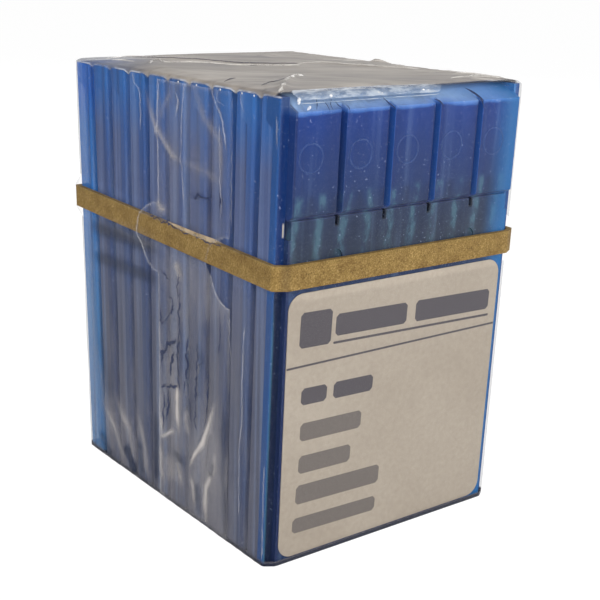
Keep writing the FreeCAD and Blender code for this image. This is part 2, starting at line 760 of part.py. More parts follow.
def left_gathers(stack, lines, clear):
    """Gathers that stand on the left face, this far outside the cases."""
    height = size("case_height")
    half_depth = stack.back_at(height)
    face = -size("case_width") / 2 - size("film_gap") - clear
    spines = [[(y * half_depth, z * height) for y, z in line] for line in lines]
    return [
        gather(spine, lambda y, z, rise: FreeCAD.Vector(face - rise, y, z)) for spine in spines
    ]


def shrink_wrap(stack):
    """Closed film over the whole stack, with the ridge that the band makes and its gathers."""
    thick = size("film_thickness")
    outer = film_block(stack, thick, 0.0, thick)
    inner = film_block(stack, 0.0, thick, 0.0)
    gathers = top_gathers(stack, thick / 2) + left_gathers(stack, SIDE_GATHERS, thick / 2)
    film = doc.addObject("Part::Feature", "shrink_wrap")
    film.Shape = outer.fuse(gathers).cut(inner)
    return film


def strip_outline(name):
    """Outline of the lap seen from the left: a strip with a tab behind and a bite in front."""
    front, back = size("lap_front"), size("lap_back")
    low, high = size("lap_foot"), size("lap_top")
    depth = size("case_width")
    strip = Part.makeBox(depth, back - front, high - low, FreeCAD.Vector(-depth, front, low))
    along = FreeCAD.Vector(1, 0, 0)
    tab = Part.makeCylinder(size("tab_radius"), depth,
                            FreeCAD.Vector(-depth, back, size("tab_height")), along)
    bite = Part.makeCylinder(size("bite_radius"), depth,
                             FreeCAD.Vector(-depth, front, size("bite_height")), along)
    outline = doc.addObject("Part::Feature", name)
    outline.Shape = strip.fuse(tab).cut(bite).removeSplitter()
    return outline


def wrap_lap(stack):
    """The second layer where the film's ends are welded over each other on the left face."""
    thick = size("film_thickness")
    gap = size("band_gap")
    outer = film_block(stack, 2 * thick + gap, 0.0, thick)
    inner = film_block(stack, thick + gap, 0.0, thick)
    strip = outer.cut(inner).common(strip_outline("lap_outline").Shape)
    gathers = left_gathers(stack, LAP_GATHERS, 1.5 * thick + gap)
    lap = doc.addObject("Part::Feature", "wrap_lap")
    lap.Shape = strip.fuse(gathers)
    return lap


def rubber_band(stack):
    """Flat band round the stack, under the film, a little higher at the back."""
    levels = film_levels(stack)
    walls = []
    for grown in (size("band_gap"), size("band_gap") + size("band_thickness")):
        rings = []
        for height, rise, proud, _ in levels[2:4]:
            rings.append(ring(stack.outline(height, rise, proud), grown, height, rise, steps=8))
        walls.append(faceted(rings))
    band = doc.addObject("Part::Feature", "rubber_band")
    band.Shape = walls[1].cut(walls[0])
    return band


# The pack


def place_copy(source, name, placement):
    """A copy of a finished piece as a piece of its own."""
    piece = doc.addObject("Part::Feature", name)
    piece.Shape = source.Shape.copy()
    piece.Placement = placement
    piece.Label = name
    return piece


def build_pack():
    """Every piece of the pack, in the order from the front case to the film."""
    masters = {"tray": tray, "cover": cover, "label": label}
    made = {(part, detail): make(detail)
            for part, make in masters.items() for detail in (FULL, PLAIN)}
    needles = {FULL: full_needle(), PLAIN: plain_needle()}
    doc.recompute()
    rows = {detail: needle_row(needle, f"row_{detail}") for detail, needle in needles.items()}
    stack = Stack()
    pieces = []
    for index in range(int(size("case_count"))):
        detail = FULL if index == 0 else PLAIN
        number = f"case_{index + 1:02d}"
        placement = stack.placement(index)
        for part in masters:
            pieces.append(place_copy(made[part, detail], f"{number}_{part}", placement))
        pieces.append(place_copy(rows[detail], f"{number}_needles", placement))
    pieces.append(rubber_band(stack))
    pieces.append(shrink_wrap(stack))
    pieces.append(wrap_lap(stack))
    return pieces


def check(pieces):
    """Stop unless every object has recomputed and every piece is a valid solid."""
    for item in doc.Objects:
        if {"Invalid", "Error"} & set(item.State):
            raise RuntimeError(f"{item.Name} did not recompute")
    for piece in pieces:
        if piece.Shape.isNull() or not piece.Shape.isValid() or not piece.Shape.Solids:
            raise RuntimeError(f"{piece.Label} is not a valid solid")


def main():
    fill_sheet()
    pieces = build_pack()
    doc.recompute()
    check(pieces)
    os.makedirs("parts", exist_ok=True)
    for piece in pieces:
        piece.Shape.exportStep(f"parts/{piece.Label}.step")
        print(f"{piece.Label}: {len(piece.Shape.Solids)} solids, {piece.Shape.Volume:.1f} mm3")


main()
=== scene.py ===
import math

import bpy
from mathutils import Matrix, Vector, noise
from mathutils.bvhtree import BVHTree


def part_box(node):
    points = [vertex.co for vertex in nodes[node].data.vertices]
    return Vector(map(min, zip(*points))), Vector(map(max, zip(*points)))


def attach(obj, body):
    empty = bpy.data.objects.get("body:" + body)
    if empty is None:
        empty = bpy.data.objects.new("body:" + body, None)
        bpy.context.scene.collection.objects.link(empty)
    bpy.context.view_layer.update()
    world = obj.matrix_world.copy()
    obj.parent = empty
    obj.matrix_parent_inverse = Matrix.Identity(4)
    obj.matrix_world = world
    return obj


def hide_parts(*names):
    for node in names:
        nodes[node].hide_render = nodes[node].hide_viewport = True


# The finish of the wrapped pack of needle cases. Lengths are in millimetres until they reach
# Blender, which works in metres. X runs across the label, Y into the stack and Z up.

MM = 0.001

# The camera that the photograph was taken with
CAMERA_PLACE = (-91.45, -123.28, 69.81)
CAMERA_HEADING = 37.36
CAMERA_DOWN = 16.23
CAMERA_ROLL = 1.52
CAMERA_LENS = 69.9

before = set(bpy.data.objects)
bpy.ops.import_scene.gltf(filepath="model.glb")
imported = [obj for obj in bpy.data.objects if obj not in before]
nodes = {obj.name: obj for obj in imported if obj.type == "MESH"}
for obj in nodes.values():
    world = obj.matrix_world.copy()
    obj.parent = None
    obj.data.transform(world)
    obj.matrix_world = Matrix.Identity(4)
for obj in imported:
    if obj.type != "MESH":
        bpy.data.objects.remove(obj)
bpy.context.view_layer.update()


def edge(node, corner, axis):
    """One coordinate of a node's box, in millimetres; corner 0 is the lowest, 1 the highest."""
    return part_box(node)[corner][axis] / MM


# Places read from the frame
FILM_LEFT, FILM_FRONT, _ = [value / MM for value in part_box("shrink_wrap")[0]]
FILM_RIGHT, FILM_BACK, _ = [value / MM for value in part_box("shrink_wrap")[1]]
FILM_MIDDLE = (FILM_BACK + FILM_FRONT) / 2
CASE_LEFT = edge("case_01_tray", 0, 0)
CASE_TOP = edge("case_01_cover", 1, 2)
COVER_FRONT = edge("case_01_cover", 0, 1)
LABEL_LEFT, LABEL_RIGHT = edge("case_01_label", 0, 0), edge("case_01_label", 1, 0)
LAP_FRONT, LAP_FOOT = edge("wrap_lap", 0, 1), edge("wrap_lap", 0, 2)
LAP_TOP = edge("wrap_lap", 1, 2)
BAND_WIDTH = 2.9
BAND_FOOT = edge("rubber_band", 0, 2)
BAND_RISE = (edge("rubber_band", 1, 2) - BAND_WIDTH - BAND_FOOT) / (FILM_BACK - FILM_FRONT)


def seam_at_top(node):
    """How far back a case reaches at its top, in millimetres."""
    corners = [vertex.co / MM for vertex in nodes[node].data.vertices]
    return max(corner.y for corner in corners if corner.z > CASE_TOP - 1.5)


CASE_NUMBERS = range(1, 11)
CASE_SEAMS = [seam_at_top(f"case_{number:02d}_tray") for number in CASE_NUMBERS]


# Sizes and tones that the looks share
LOBE_PITCH = 7.0
NEEDLE_PITCH = 3.5
FILM_SWEEP = math.radians(-37)
WHITE = (255, 255, 255)


# Materials. Colours are written in sRGB, 0 to 255, and places in millimetres.


def linear(tone):
    """A colour given as 0 to 255 in sRGB, as linear values."""
    made = []
    for value in tone:
        share = value / 255
        made.append(share / 12.92 if share <= 0.04045 else ((share + 0.055) / 1.055) ** 2.4)
    return (*made, 1.0)


class Field:
    """A number or a colour that varies over a surface: one output of a shader node."""

    def __init__(self, graph, output):
        self.graph = graph
        self.output = output

    def __add__(self, other):
        return self.graph.math("ADD", self, other)

    def __sub__(self, other):
        return self.graph.math("SUBTRACT", self, other)

    def __rsub__(self, other):
        return self.graph.math("SUBTRACT", other, self)

    def __mul__(self, other):
        return self.graph.math("MULTIPLY", self, other)

    def __abs__(self):
        return self.graph.math("ABSOLUTE", self, 0.0)

    def folded(self, half):
        """Distance from the nearest of the places that stand two halves apart."""
        return self.graph.math("PINGPONG", self, half)

    def at_least(self, other, clamp=False):
        """The greater of the two."""
        return self.graph.math("MAXIMUM", self, other, clamp)

    def between(self, low, high, new_low=0.0, new_high=1.0):
        """Smooth step from one limit to the other."""
        limits = {"Value": self, "From Min": low, "From Max": high,
                  "To Min": new_low, "To Max": new_high}
        return self.graph.field("MapRange", "Result", limits, interpolation_type="SMOOTHSTEP")

    def ramp(self, stops):
        """Colours at places from 0 to 1 along this number."""
        node = self.graph.add("ValToRGB", {"Fac": self})
        elements = node.color_ramp.elements
        while len(elements) < len(stops):
            elements.new(0.5)
        for element, (place, tone) in zip(elements, stops):
            element.position = place
            element.color = linear(tone)
        return Field(self.graph, node.outputs["Color"])

    def tint(self, share, tone, blend="MIX"):
        """This colour, mixed with a tone by a share."""
        return self.graph.mix(share, self, tone, blend)


class Nodes:
    """A new material, with short calls to add and link its nodes."""

    def __init__(self, name, colour, roughness, alpha=1.0, **sockets):
        self.made = bpy.data.materials.new(name)
        self.made.use_nodes = True
        self.tree = self.made.node_tree
        self.shader = self.tree.nodes["Principled BSDF"]
        self.paint(Base_Color=colour, Roughness=roughness, Alpha=alpha, **sockets)

    def paint(self, **sockets):
        """Set the shader's sockets, given by name."""
        for name, value in sockets.items():
            self.feed(self.shader.inputs[name.replace("_", " ")], value)

    def feed(self, socket, value):
        """Link a field to a socket, or set a number or a colour on it."""
        if isinstance(value, Field):
            self.tree.links.new(value.output, socket)
        elif isinstance(value, tuple):
            socket.default_value = linear(value)
        else:
            socket.default_value = value

    def add(self, kind, inputs=None, **settings):
        """A new node; its inputs are given by name or by number."""
        node = self.tree.nodes.new("ShaderNode" + kind)
        for name, value in settings.items():
            setattr(node, name, value)
        for name, value in (inputs or {}).items():
            self.feed(node.inputs[name], value)
        return node

    def field(self, kind, output, inputs=None, **settings):
        """One output of a new node."""
        return Field(self, self.add(kind, inputs, **settings).outputs[output])

    def place(self, x=1.0, y=1.0, z=1.0, turn=0.0):
        """Position on the object in metres, scaled along each axis and turned about Z."""
        spot = {"Vector": self.field("TexCoord", "Object")}
        mapping = self.add("Mapping", spot, vector_type="TEXTURE")
        mapping.inputs["Scale"].default_value = (1 / x, 1 / y, 1 / z)
        mapping.inputs["Rotation"].default_value = (0.0, 0.0, turn)
        return Field(self, mapping.outputs["Vector"])

    def axes(self):
        """X, Y and Z on the object, in millimetres."""
        parts = self.add("SeparateXYZ", {0: self.place()}).outputs
        return [Field(self, part) * (1 / MM) for part in parts]

    def painted(self, name):
        """A number that the mesh carries at its points."""
        return self.field("Attribute", "Fac", attribute_name=name)

    def noise(self, scale, detail=4.0, rough=0.5, seed=0.0, **place):
        inputs = {"Vector": self.place(**place), "W": seed, "Scale": scale,
                  "Detail": detail, "Roughness": rough}
        return self.field("TexNoise", "Fac", inputs, noise_dimensions="4D")

    def math(self, operation, first, second, clamp=False):
        values = {0: first, 1: second}
        return self.field("Math", 0, values, operation=operation, use_clamp=clamp)

    def mix(self, share, first, second, blend="MIX"):
        node = self.add("Mix", data_type="RGBA", blend_type=blend)
        colours = [socket for socket in node.inputs if socket.type == "RGBA"]
        for socket, value in zip([node.inputs[0], *colours], (share, first, second)):
            self.feed(socket, value)
        return Field(self, next(socket for socket in node.outputs if socket.type == "RGBA"))

    def bump(self, height, distance, strength=1.0):
        inputs = {"Strength": strength, "Distance": distance, "Height": height}
        self.paint(Normal=self.field("Bump", "Normal", inputs))


def case_tones(graph, stops):
    """Colours from the foot of a case to its crown, with a slow drift."""
    drift = graph.noise(160, 3.0, 0.55, z=0.35)
    height = graph.axes()[2] * (1 / CASE_TOP) + drift * 0.03
    return height.ramp([(place / CASE_TOP + 0.015, tone) for place, tone in stops])


def moulded(name, alpha):
    """A plain translucent moulding, ready to be coloured."""
    graph = Nodes(name, (60, 90, 150), 0.4, alpha, Specular_IOR_Level=0.28)
    graph.paint(Roughness=graph.noise(900, 3.0, 0.55).between(0.2, 0.8, 0.34, 0.46))
    graph.bump(graph.noise(700, 2.0), 0.00001, 0.25)
    return graph


def grained(tones, strength=0.16):
    """The tones with the fine pale and dark grain of frosted plastic, and sparse dust."""
    grain = tones.graph.noise(5200, 2.0, 0.6)
    dust = tones.graph.noise(4200, 0.0, seed=6.0)
    tones = tones.tint(grain.between(0.52, 0.75, 0.0, strength * 0.7), (140, 150, 190))
    tones = tones.tint(grain.between(0.48, 0.28, 0.0, strength), (12, 18, 40))
    return tones.tint(dust.between(0.745, 0.8, 0.0, 0.4), (176, 190, 226))


def over_band(y, z, reach=0.0):
    """1 where the film lies on the rubber band, or this near to it; 0 elsewhere."""
    level = z - y * BAND_RISE
    foot = BAND_FOOT - BAND_RISE * FILM_FRONT - reach
    top = foot + BAND_WIDTH + 2 * reach
    return level.between(foot - 0.15, foot + 0.25) * level.between(top + 0.15, top - 0.25)


def streaked(tones, low, high, width=1.3, seed=0.0):
    """The tones with soft upright streaks, darker and lighter by these shares."""
    streaks = tones.graph.noise(1000 / width, 2.0, seed=seed, z=0.015)
    tones = tones.tint(streaks.between(0.3, 0.5, low, 0.0), (30, 42, 84))
    return tones.tint(streaks.between(0.5, 0.68, 0.0, high), (150, 178, 222))


def tray_plastic(name, crown, middle, foot):
    graph = moulded(name, 0.72)
    tones = case_tones(graph, [(0, foot), (22, foot), (40, middle), (47.5, middle), (52, crown)])
    graph.paint(Base_Color=grained(streaked(tones, 0.42, 0.3, 1.0), 0.1))
    return graph.made


def cover_plastic():
    """Covers behind the first: only their side rails show, as blue stripes on the left face."""
    graph = moulded("case_cover_blue", 0.8)
    tones = case_tones(graph, [(0, (58, 74, 112)), (25, (62, 82, 126)), (42, (56, 88, 150)),
                               (50, (46, 95, 167)), (54, (44, 109, 186))])
    graph.paint(Base_Color=grained(streaked(tones, 0.4, 0.3, 1.1, 3.0), 0.1))
    return graph.made


def front_plastic():
    """The first cover: lobes, a painted highlight on the brow, a dark zone with painted needle glints,
    and a painted teal glow at the right end.
    """
    graph = moulded("case_front_blue", 0.88)
    x, _, z = graph.axes()
    # Colours by height; the pale stops at the top paint a highlight on the crown
    tones = case_tones(graph, [(0, (30, 52, 92)), (33, (34, 56, 98)), (38, (46, 57, 74)),
                               (42, (45, 60, 90)), (45, (36, 59, 108)), (50, (24, 56, 121)),
                               (53.9, (16, 58, 138)), (54.15, (66, 118, 200)),
                               (55.0, (156, 188, 230))])
    tones = streaked(tones, 0.25, 0.12, 1.4, 8.0)
    # Painted highlight on the brow, which faces up to the light
    brow = z.between(54.0, 54.6) * x.between(0, 14)
    tones = tones.tint(brow * 0.75, (74, 134, 210))

    # Grooves between the lobes: a painted highlight on the lit groove wall with painted shade beside
    # it, and painted shade in the slit at the foot
    groove = (x + 38.35).folded(LOBE_PITCH / 2)
    shadow = (x + 38.9).folded(LOBE_PITCH / 2)
    lobes = z.between(42.3, 42.9) * z.between(54.8, 53.6) * x.between(-9, -6, 0.3, 1.0)
    tones = tones.tint(groove.between(1.9, 0.5) * lobes * 0.45, (18, 44, 106))
    tones = tones.tint(groove.between(0.48, 0.18) * lobes * 0.75, (50, 112, 206))
    tones = tones.tint(shadow.between(0.3, 0.05) * lobes * 0.6, (18, 32, 84))
    # Painted light along the hinge line, to soften the shade of its moulded groove
    tones = tones.tint(abs(z - 42.6).between(0.4, 0.1) * 0.3, (104, 112, 176))
    slit = z.between(41.1, 41.4) * z.between(42.7, 42.4) * groove.between(0.4, 0.2)
    tones = tones.tint(slit * 0.9, (14, 18, 30))

    # Needles seen through the frosted wall, broken by the hinge line: painted glints on them, with
    # painted shade between them
    slant = x - z * 0.05 + graph.noise(420, 2.0) * 1.3
    needle = (slant + 28.45).folded(NEEDLE_PITCH / 2)
    zone = z.between(36.2, 39.5) * z.between(45.6, 44.6)
    broken = graph.noise(800, 3.0, 0.6, z=0.5).between(0.38, 0.6)
    tones = tones.tint(needle.between(0.7, 1.7) * zone * 0.4, (28, 40, 68))
    tones = tones.tint(needle.between(0.85, 0.15) * zone * broken * 0.5, (90, 132, 150))

    # Ends: a painted teal glow of light coming through the right end and a deep edge at the right, the
    # side rail and its edges at the left
    tones = tones.tint(x.between(12.5, 16.8) * 0.8, (28, 110, 176))
    tones = tones.tint(x.between(17.3, 17.7) * 0.8, (14, 60, 128))
    rail = graph.mix(z.between(33, 37), (12, 28, 58), (3, 46, 108))
    tones = tones.tint(x.between(-17.0, -17.3) * 0.9, rail)
    tones = tones.tint(abs(x + 17.0).between(0.3, 0.05) * 0.7, (20, 36, 84))
    tones = tones.tint(x.between(-18.15, -18.3) * 0.85, (22, 82, 150))
    teal = abs(x + 18.2).between(0.14, 0.05) * z.between(34, 28)
    tones = tones.tint(teal * 0.35, (42, 120, 152))

    # Light that comes through the slot at the end of the hinge line
    slot = z.between(40.4, 40.7) * z.between(42.3, 41.9) * abs(x + 17.4).between(0.17, 0.06)
    tones = tones.tint(slot * 0.85, (206, 200, 184))
    graph.paint(Base_Color=grained(tones))
    return graph.made


def mark_plastic():
    """The lighter blue of the round marks on the lobes."""
    graph = moulded("case_mark_blue", 0.3)
    graph.paint(Base_Color=graph.noise(600, 3.0).ramp([(0.3, (60, 94, 166)), (0.7, (86, 120, 188))]))
    return graph.made


def steel():
    graph = Nodes("needle_steel", (176, 184, 190), 0.28, Metallic=1.0)
    grain = graph.noise(3000, 3.0, 0.6, z=0.05)
    graph.paint(Roughness=grain.between(0.2, 0.8, 0.2, 0.42))
    return graph.made


def rubber():
    """Khaki rubber with fine dark and pale specks, shaded where it bends round the near corner."""
    graph = Nodes("band_rubber", (143, 116, 70), 0.85, Specular_IOR_Level=0.3)
    x, y, _ = graph.axes()
    tone = graph.noise(5600, 3.0, 0.7).ramp([(0.34, (106, 84, 42)), (0.5, (142, 116, 64)),
                                             (0.66, (176, 150, 98))])
    cloud = graph.noise(420, 4.0, 0.6).ramp([(0.3, (206, 198, 184)), (0.7, WHITE)])
    bend = abs(x + 17.6).between(0.8, 0.1) * y.between(-20, -22)
    tone = tone.tint(1.0, cloud, "MULTIPLY").tint(bend * 0.45, (84, 66, 42))
    graph.paint(Base_Color=tone)
    graph.bump(graph.noise(3600, 4.0), 0.00004, 0.5)
    return graph.made


def paper():
    graph = Nodes("label_paper", (186, 175, 160), 0.62, Specular_IOR_Level=0.35)
    fibres = graph.noise(1500, 5.0, 0.7)
    fine = fibres.ramp([(0.3, (169, 159, 146)), (0.7, (182, 172, 159))])
    broad = graph.noise(60, 3.0, 0.5).ramp([(0.3, (238, 236, 234)), (0.7, WHITE)])
    graph.paint(Base_Color=fine.tint(1.0, broad, "MULTIPLY"))
    graph.bump(fibres, 0.00002, 0.3)
    return graph.made


def ink(name, tone, worn):
    graph = Nodes(name, tone, 0.6)
    graph.paint(Base_Color=graph.noise(4200, 3.0, 0.6).ramp([(0.3, tone), (0.75, worn)]))
    return graph.made


def film():
    """Thin clear film: gloss at a slant, smoke and painted shade low on the left, painted shade at the
    foot, and a dense grey top that is partly painted reflection.
    """
    graph = Nodes("wrap_film_clear", (176, 172, 172), 0.22, Specular_IOR_Level=0.35)
    x, y, z = graph.axes()
    milk, painted_shade = graph.painted("milk"), graph.painted("painted_shade")
    left = x.between(-18.2, -18.42)
    up = (z + graph.painted("notch") * 0.5).between(CASE_TOP - 0.3, CASE_TOP + 0.1)
    lip = up.between(0.0, 0.35) * up.between(1.0, 0.65)
    up = up * y.between(FILM_FRONT + 1.7, FILM_FRONT + 2.3)
    # Dark at the foot: painted shade where the film meets the floor
    foot = z.between(0.8, 0.35)
    slant = graph.field("Fresnel", "Fac", {"IOR": 1.4})
    gloss = slant * over_band(y, z, 1.6).between(0.0, 1.0, 0.3, 0.06)

    # Smoke on the left face, denser towards the foot
    smoke = graph.noise(190, 5.0, 0.62, z=0.32).between(0.36, 0.7, 0.35, 1.5)
    depth = z.between(50, 8, 0.04, 0.22) * y.between(-22, -16, 0.35, 1.0)
    haze = smoke * (depth * (1.0 - over_band(y, z))) * left
    side = haze + gloss + milk * 0.66 + foot * left.between(0.0, 1.0, 0.85, 0.6)

    # The top hides what is under it
    folds = graph.noise(90, 4.0, 0.55).between(0.3, 0.75, 0.88, 0.98)
    corner = (y - x * 1.3).between(26, 42)
    cover = side + up * (folds - corner * 0.4 - side)

    # A pale lip along the left edge of the top, and patches of painted shade low on the left
    lip = lip * left * graph.noise(420, 3.0, 0.6).between(0.35, 0.6, 0.2, 0.75)
    cover = cover.at_least(painted_shade * 0.9).at_least(lip, clamp=True)

    # Colours. The top's grey, with its pale shine on the right, is partly painted reflection and
    # highlight; the dark patches and the dark foot are painted shade
    broad = graph.noise(120, 4.0, 0.6, x=0.35, turn=FILM_SWEEP)
    fine = graph.noise(900, 3.0, 0.6, 3.0, x=0.07, y=0.6, turn=FILM_SWEEP)
    shine = fine.between(0.52, 0.66) * x.between(9, 17)
    top = (broad * 0.55 + fine * 0.45).ramp([(0.36, (117, 112, 112)), (0.5, (148, 141, 134)),
                                             (0.64, (177, 169, 161))])
    top = top.tint(shine * 0.8, (226, 220, 212)).tint(corner * 0.5, (120, 132, 156))
    low = graph.mix(milk, (150, 148, 156), (222, 215, 208))
    low = low.tint(graph.math("MULTIPLY", painted_shade, 3.0, clamp=True), (34, 42, 66))
    tone = low.tint(foot, (24, 32, 56)).tint(up, top).tint(lip, (206, 212, 222))
    graph.paint(Base_Color=tone, Alpha=cover, Roughness=up.between(0.0, 1.0, 0.2, 0.55))
    graph.bump(graph.noise(240, 5.0, 0.55, z=0.5), 0.00018, 0.4)
    return graph.made


def lap_film():
    """Second layer: a little cloudier, with rims painted pale as a highlight on the raised weld edge,
    and dark islands where it let go.
    """
    graph = Nodes("wrap_lap_clear", (186, 182, 186), 0.28, Specular_IOR_Level=0.5)
    _, y, z = graph.axes()
    rim = graph.painted("rim")
    low = z.between(44, 24) * z.between(4, 15, 0.4, 1.0)
    cloud = graph.noise(200, 5.0, 0.6, z=0.25).between(0.3, 0.75, 0.0, 0.16)
    uneven = graph.noise(130, 4.0, 0.6, 2.0, z=0.3).between(0.42, 0.62, 0.0, 0.34)
    solid = (cloud + low * uneven) * (1.0 - over_band(y, z)) + rim * 0.14
    zone = z.between(9, 15) * z.between(31, 23)
    patch = graph.noise(170, 3.0, 0.5, 4.0, z=0.4).between(0.47, 0.56)
    islands = graph.noise(700, 5.0, 0.7, z=0.45).between(0.56, 0.6) * zone * patch * 0.85
    # Painted highlight: the raised rim is paler
    pale = graph.mix(rim, (168, 166, 172), (214, 214, 220))
    graph.paint(Base_Color=pale.tint(islands, (50, 64, 98)), Alpha=solid.at_least(islands, clamp=True))
    graph.bump(graph.noise(380, 5.0, 0.6, z=0.4), 0.0002, 0.4)
    return graph.made


def crease_film(name, tone, alpha):
    """Pale film in creases, hems and bubbles; its pale tone partly paints their highlights."""
    graph = Nodes(name, tone, 0.18, alpha, Specular_IOR_Level=0.8)
    graph.paint(Alpha=graph.noise(500, 4.0, 0.6).between(0.3, 0.66, alpha * 0.35, alpha))
    graph.bump(graph.noise(1400, 3.0), 0.00004, 0.4)
    return graph.made


def dark_film(name, tone, alpha):
    """Dark film in thin lines: painted fold shadows, and film that clings to the plastic in dark folds
    and cracks.
    """
    graph = Nodes(name, tone, 0.4, alpha, Specular_IOR_Level=0.15)
    graph.paint(Alpha=graph.noise(1500, 4.0, 0.65).between(0.32, 0.5, alpha * 0.35, alpha))
    graph.bump(graph.noise(1400, 3.0), 0.00003, 0.3)
    return graph.made


def hem_film():
    """The welded hem: milky, with short streaks along it, thinner to the right."""
    graph = Nodes("wrap_hem_white", (190, 202, 218), 0.3, 0.6, Specular_IOR_Level=0.4)
    streaks = graph.noise(1300, 4.0, 0.65, x=0.35)
    thin = graph.axes()[0].between(5, 2, 0.3, 1.0)
    graph.paint(Base_Color=streaks.ramp([(0.38, (146, 164, 192)), (0.62, (188, 197, 208))]),
                Alpha=streaks.between(0.38, 0.62, 0.34, 0.76) * thin)
    graph.bump(graph.noise(1200, 3.0, x=0.4), 0.00004, 0.4)
    return graph.made


# Mesh helpers


def into_scene(name, data):
    """A new object with this data, in the scene."""
    made = bpy.data.objects.new(name, data)
    bpy.context.scene.collection.objects.link(made)
    return made


def new_piece(name, points, faces, finish, smooth=True):
    """A mesh piece from points in millimetres, riding on the pack."""
    mesh = bpy.data.meshes.new(name)
    mesh.from_pydata([Vector(point) * MM for point in points], [], faces)
    mesh.materials.append(finish)
    for polygon in mesh.polygons:
        polygon.use_smooth = smooth
    piece = into_scene(name, mesh)
    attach(piece, "root")
    return piece


def paint_points(piece, name, values):
    """Give each point of a piece a number for its material."""
    shade = piece.data.attributes.new(name, "FLOAT", "POINT")
    shade.data.foreach_set("value", values)


def distance_to(line, point):
    """Distance from a point to a bent line, and the share of the line at the nearest place."""
    best, share = 1e9, 0.0
    for index, (a, b) in enumerate(zip(line, line[1:])):
        run = (b[0] - a[0], b[1] - a[1])
        length = run[0] ** 2 + run[1] ** 2
        t = ((point[0] - a[0]) * run[0] + (point[1] - a[1]) * run[1]) / length
        t = min(1.0, max(0.0, t))
        gap = math.hypot(point[0] - a[0] - run[0] * t, point[1] - a[1] - run[1] * t)
        if gap < best:
            best, share = gap, (index + t) / (len(line) - 1)
    return best, share


# The film. Lines on the left face give depth and height, lines on the top width and depth.

RIGHT_SWEEP = [(2.1, 1.5), (6.2, 1.0), (7.7, -2.8), (11.5, -6.5), (14.4, -9.1)]
TOP_CREASES = [
    ([(-12.1, 20.6), (-9.2, 16.4), (-5.2, 10.9), (-2.0, 6.1), (3.2, 2.2)], 0.16, 0.6),
    ([(-15.7, 8.9), (-12.8, 12.0), (-11.4, 13.2)], 0.25, 0.6),
    ([(-18.0, -22.6), (-15.8, -20.2), (-13.2, -16.9), (-10.0, -13.7), (-5.7, -10.6)], 0.3, 0.7),
    (RIGHT_SWEEP, 0.2, 0.6),
    ([(3.4, 12.6), (8.0, 15.0), (10.4, 18.9)], 0.2, 0.9),
]
TOP_BUMP = [([(15.5, 2.2), (19.0, 0.4)], 0.45, 0.9)]
SIDE_CREASES = [
    ([(4.4, 52.7), (2.5, 49.7), (-1.5, 46.7), (-9.0, 45.8), (-12.9, 45.1)], 0.2, 0.5),
    ([(-13.4, 19.4), (-13.4, 13.4), (-14.3, 3.1)], 0.2, 0.5),
    ([(18.0, 8.7), (14.3, 5.8), (11.9, 2.3)], 0.2, 0.7),
    ([(14.1, 11.3), (12.5, 8.3), (9.8, 5.0), (8.9, 1.4)], 0.2, 0.6),
    ([(9.7, 7.1), (6.6, 4.2), (5.5, 1.9)], 0.2, 0.6),
    ([(-11.3, 17.6), (-10.0, 14.0), (-8.0, 10.4), (-5.3, 7.0)], 0.25, 0.45),
]
MILKY_STREAKS = [
    ([(17.9, 8.6), (14.2, 4.8), (12.1, 1.0)], 0.36, 0.7),
    ([(14.1, 10.2), (10.3, 6.5), (9.0, 0.7)], 0.36, 0.6),
    ([(8.4, 10.3), (6.1, 5.0), (5.4, 0.6)], 0.42, 0.5),
    ([(-2.3, 17.4), (-2.1, 14.7), (-2.5, 10.6)], 1.3, 0.36),
    ([(2.0, 11.6), (1.6, 9.2)], 0.8, 0.35),
    ([(2.6, 8.3), (1.0, 9.0), (-0.9, 10.3), (-1.8, 10.4)], 0.9, 0.22),
    ([(2.0, 8.0), (2.1, 4.3), (1.1, 1.8)], 0.6, 0.5),
    ([(-1.8, 9.3), (-2.2, 5.9), (-3.4, 2.8)], 0.5, 0.7),
    ([(0.2, 7.0), (-1.4, 3.0)], 0.32, 2.2),
    ([(-11.2, 17.3), (-10.0, 14.3), (-8.6, 11.4), (-6.5, 8.9), (-5.2, 6.7)], 1.3, 0.3),
    ([(-11.3, 11.4), (-10.9, 8.5), (-9.1, 5.4), (-8.9, 2.9), (-9.1, 0.5)], 0.95, 0.34),
    ([(-4.7, 14.8), (-4.3, 13.0), (-5.3, 10.6)], 0.5, 0.5),
    ([(-5.5, 5.8), (-6.2, 3.9), (-6.5, 1.6)], 0.7, 0.4),
    ([(-6.0, 12.0), (-8.0, 3.0)], 0.2, 2.4),
    ([(4.8, 53.4), (2.5, 49.7), (-1.5, 46.7), (-3.6, 46.3)], 0.62, 0.36),
    ([(-3.0, 46.4), (-9.0, 45.8), (-12.9, 45.1)], 0.26, 0.5),
    ([(-2.4, 55.4), (0.8, 52.3), (1.6, 50.6)], 0.3, 0.5),
    ([(-6.1, 55.8), (-8.3, 52.2), (-11.8, 49.9), (-12.6, 45.0)], 0.35, 0.5),
    ([(2.5, 40.4), (1.8, 39.7), (-0.1, 39.3)], 0.7, 0.35),
    ([(-1.6, 33.4), (-2.5, 32.6), (-3.2, 31.0)], 0.6, 0.6),
]
# Painted shade on the left face: below the rubber band, and patches low down
PAINTED_SHADE_PATCHES = [
    ([(21.4, 33.7), (11.0, 34.0), (2.0, 34.2)], 0.75, 1.2),
    ([(20.8, 29.5), (11.2, 29.8), (2.0, 30.0)], 0.6, 1.0),
    ([(18.9, 18.8), (15.7, 9.2)], 0.3, 1.4),
    ([(19.4, 3.2), (16.1, 0.2)], 0.6, 0.9),
    ([(11.8, 3.8), (9.0, 0.4)], 0.7, 0.8),
    ([(7.5, 6.0), (7.3, 0.6)], 0.5, 0.6),
    ([(3.0, 12.0), (3.2, 1.0)], 0.5, 0.6),
    ([(-0.6, 7.2), (-4.6, 7.4)], 0.34, 0.9),
    ([(-7.2, 5.4), (-7.4, 0.8)], 0.5, 0.6),
    ([(-10.8, 9.6), (-10.2, 7.0)], 0.36, 0.5),
    ([(-13.2, 18.0), (-13.6, 1.0)], 0.4, 0.7),
    ([(-23.8, 30.0), (-23.8, 2.0)], 0.4, 0.5),
]
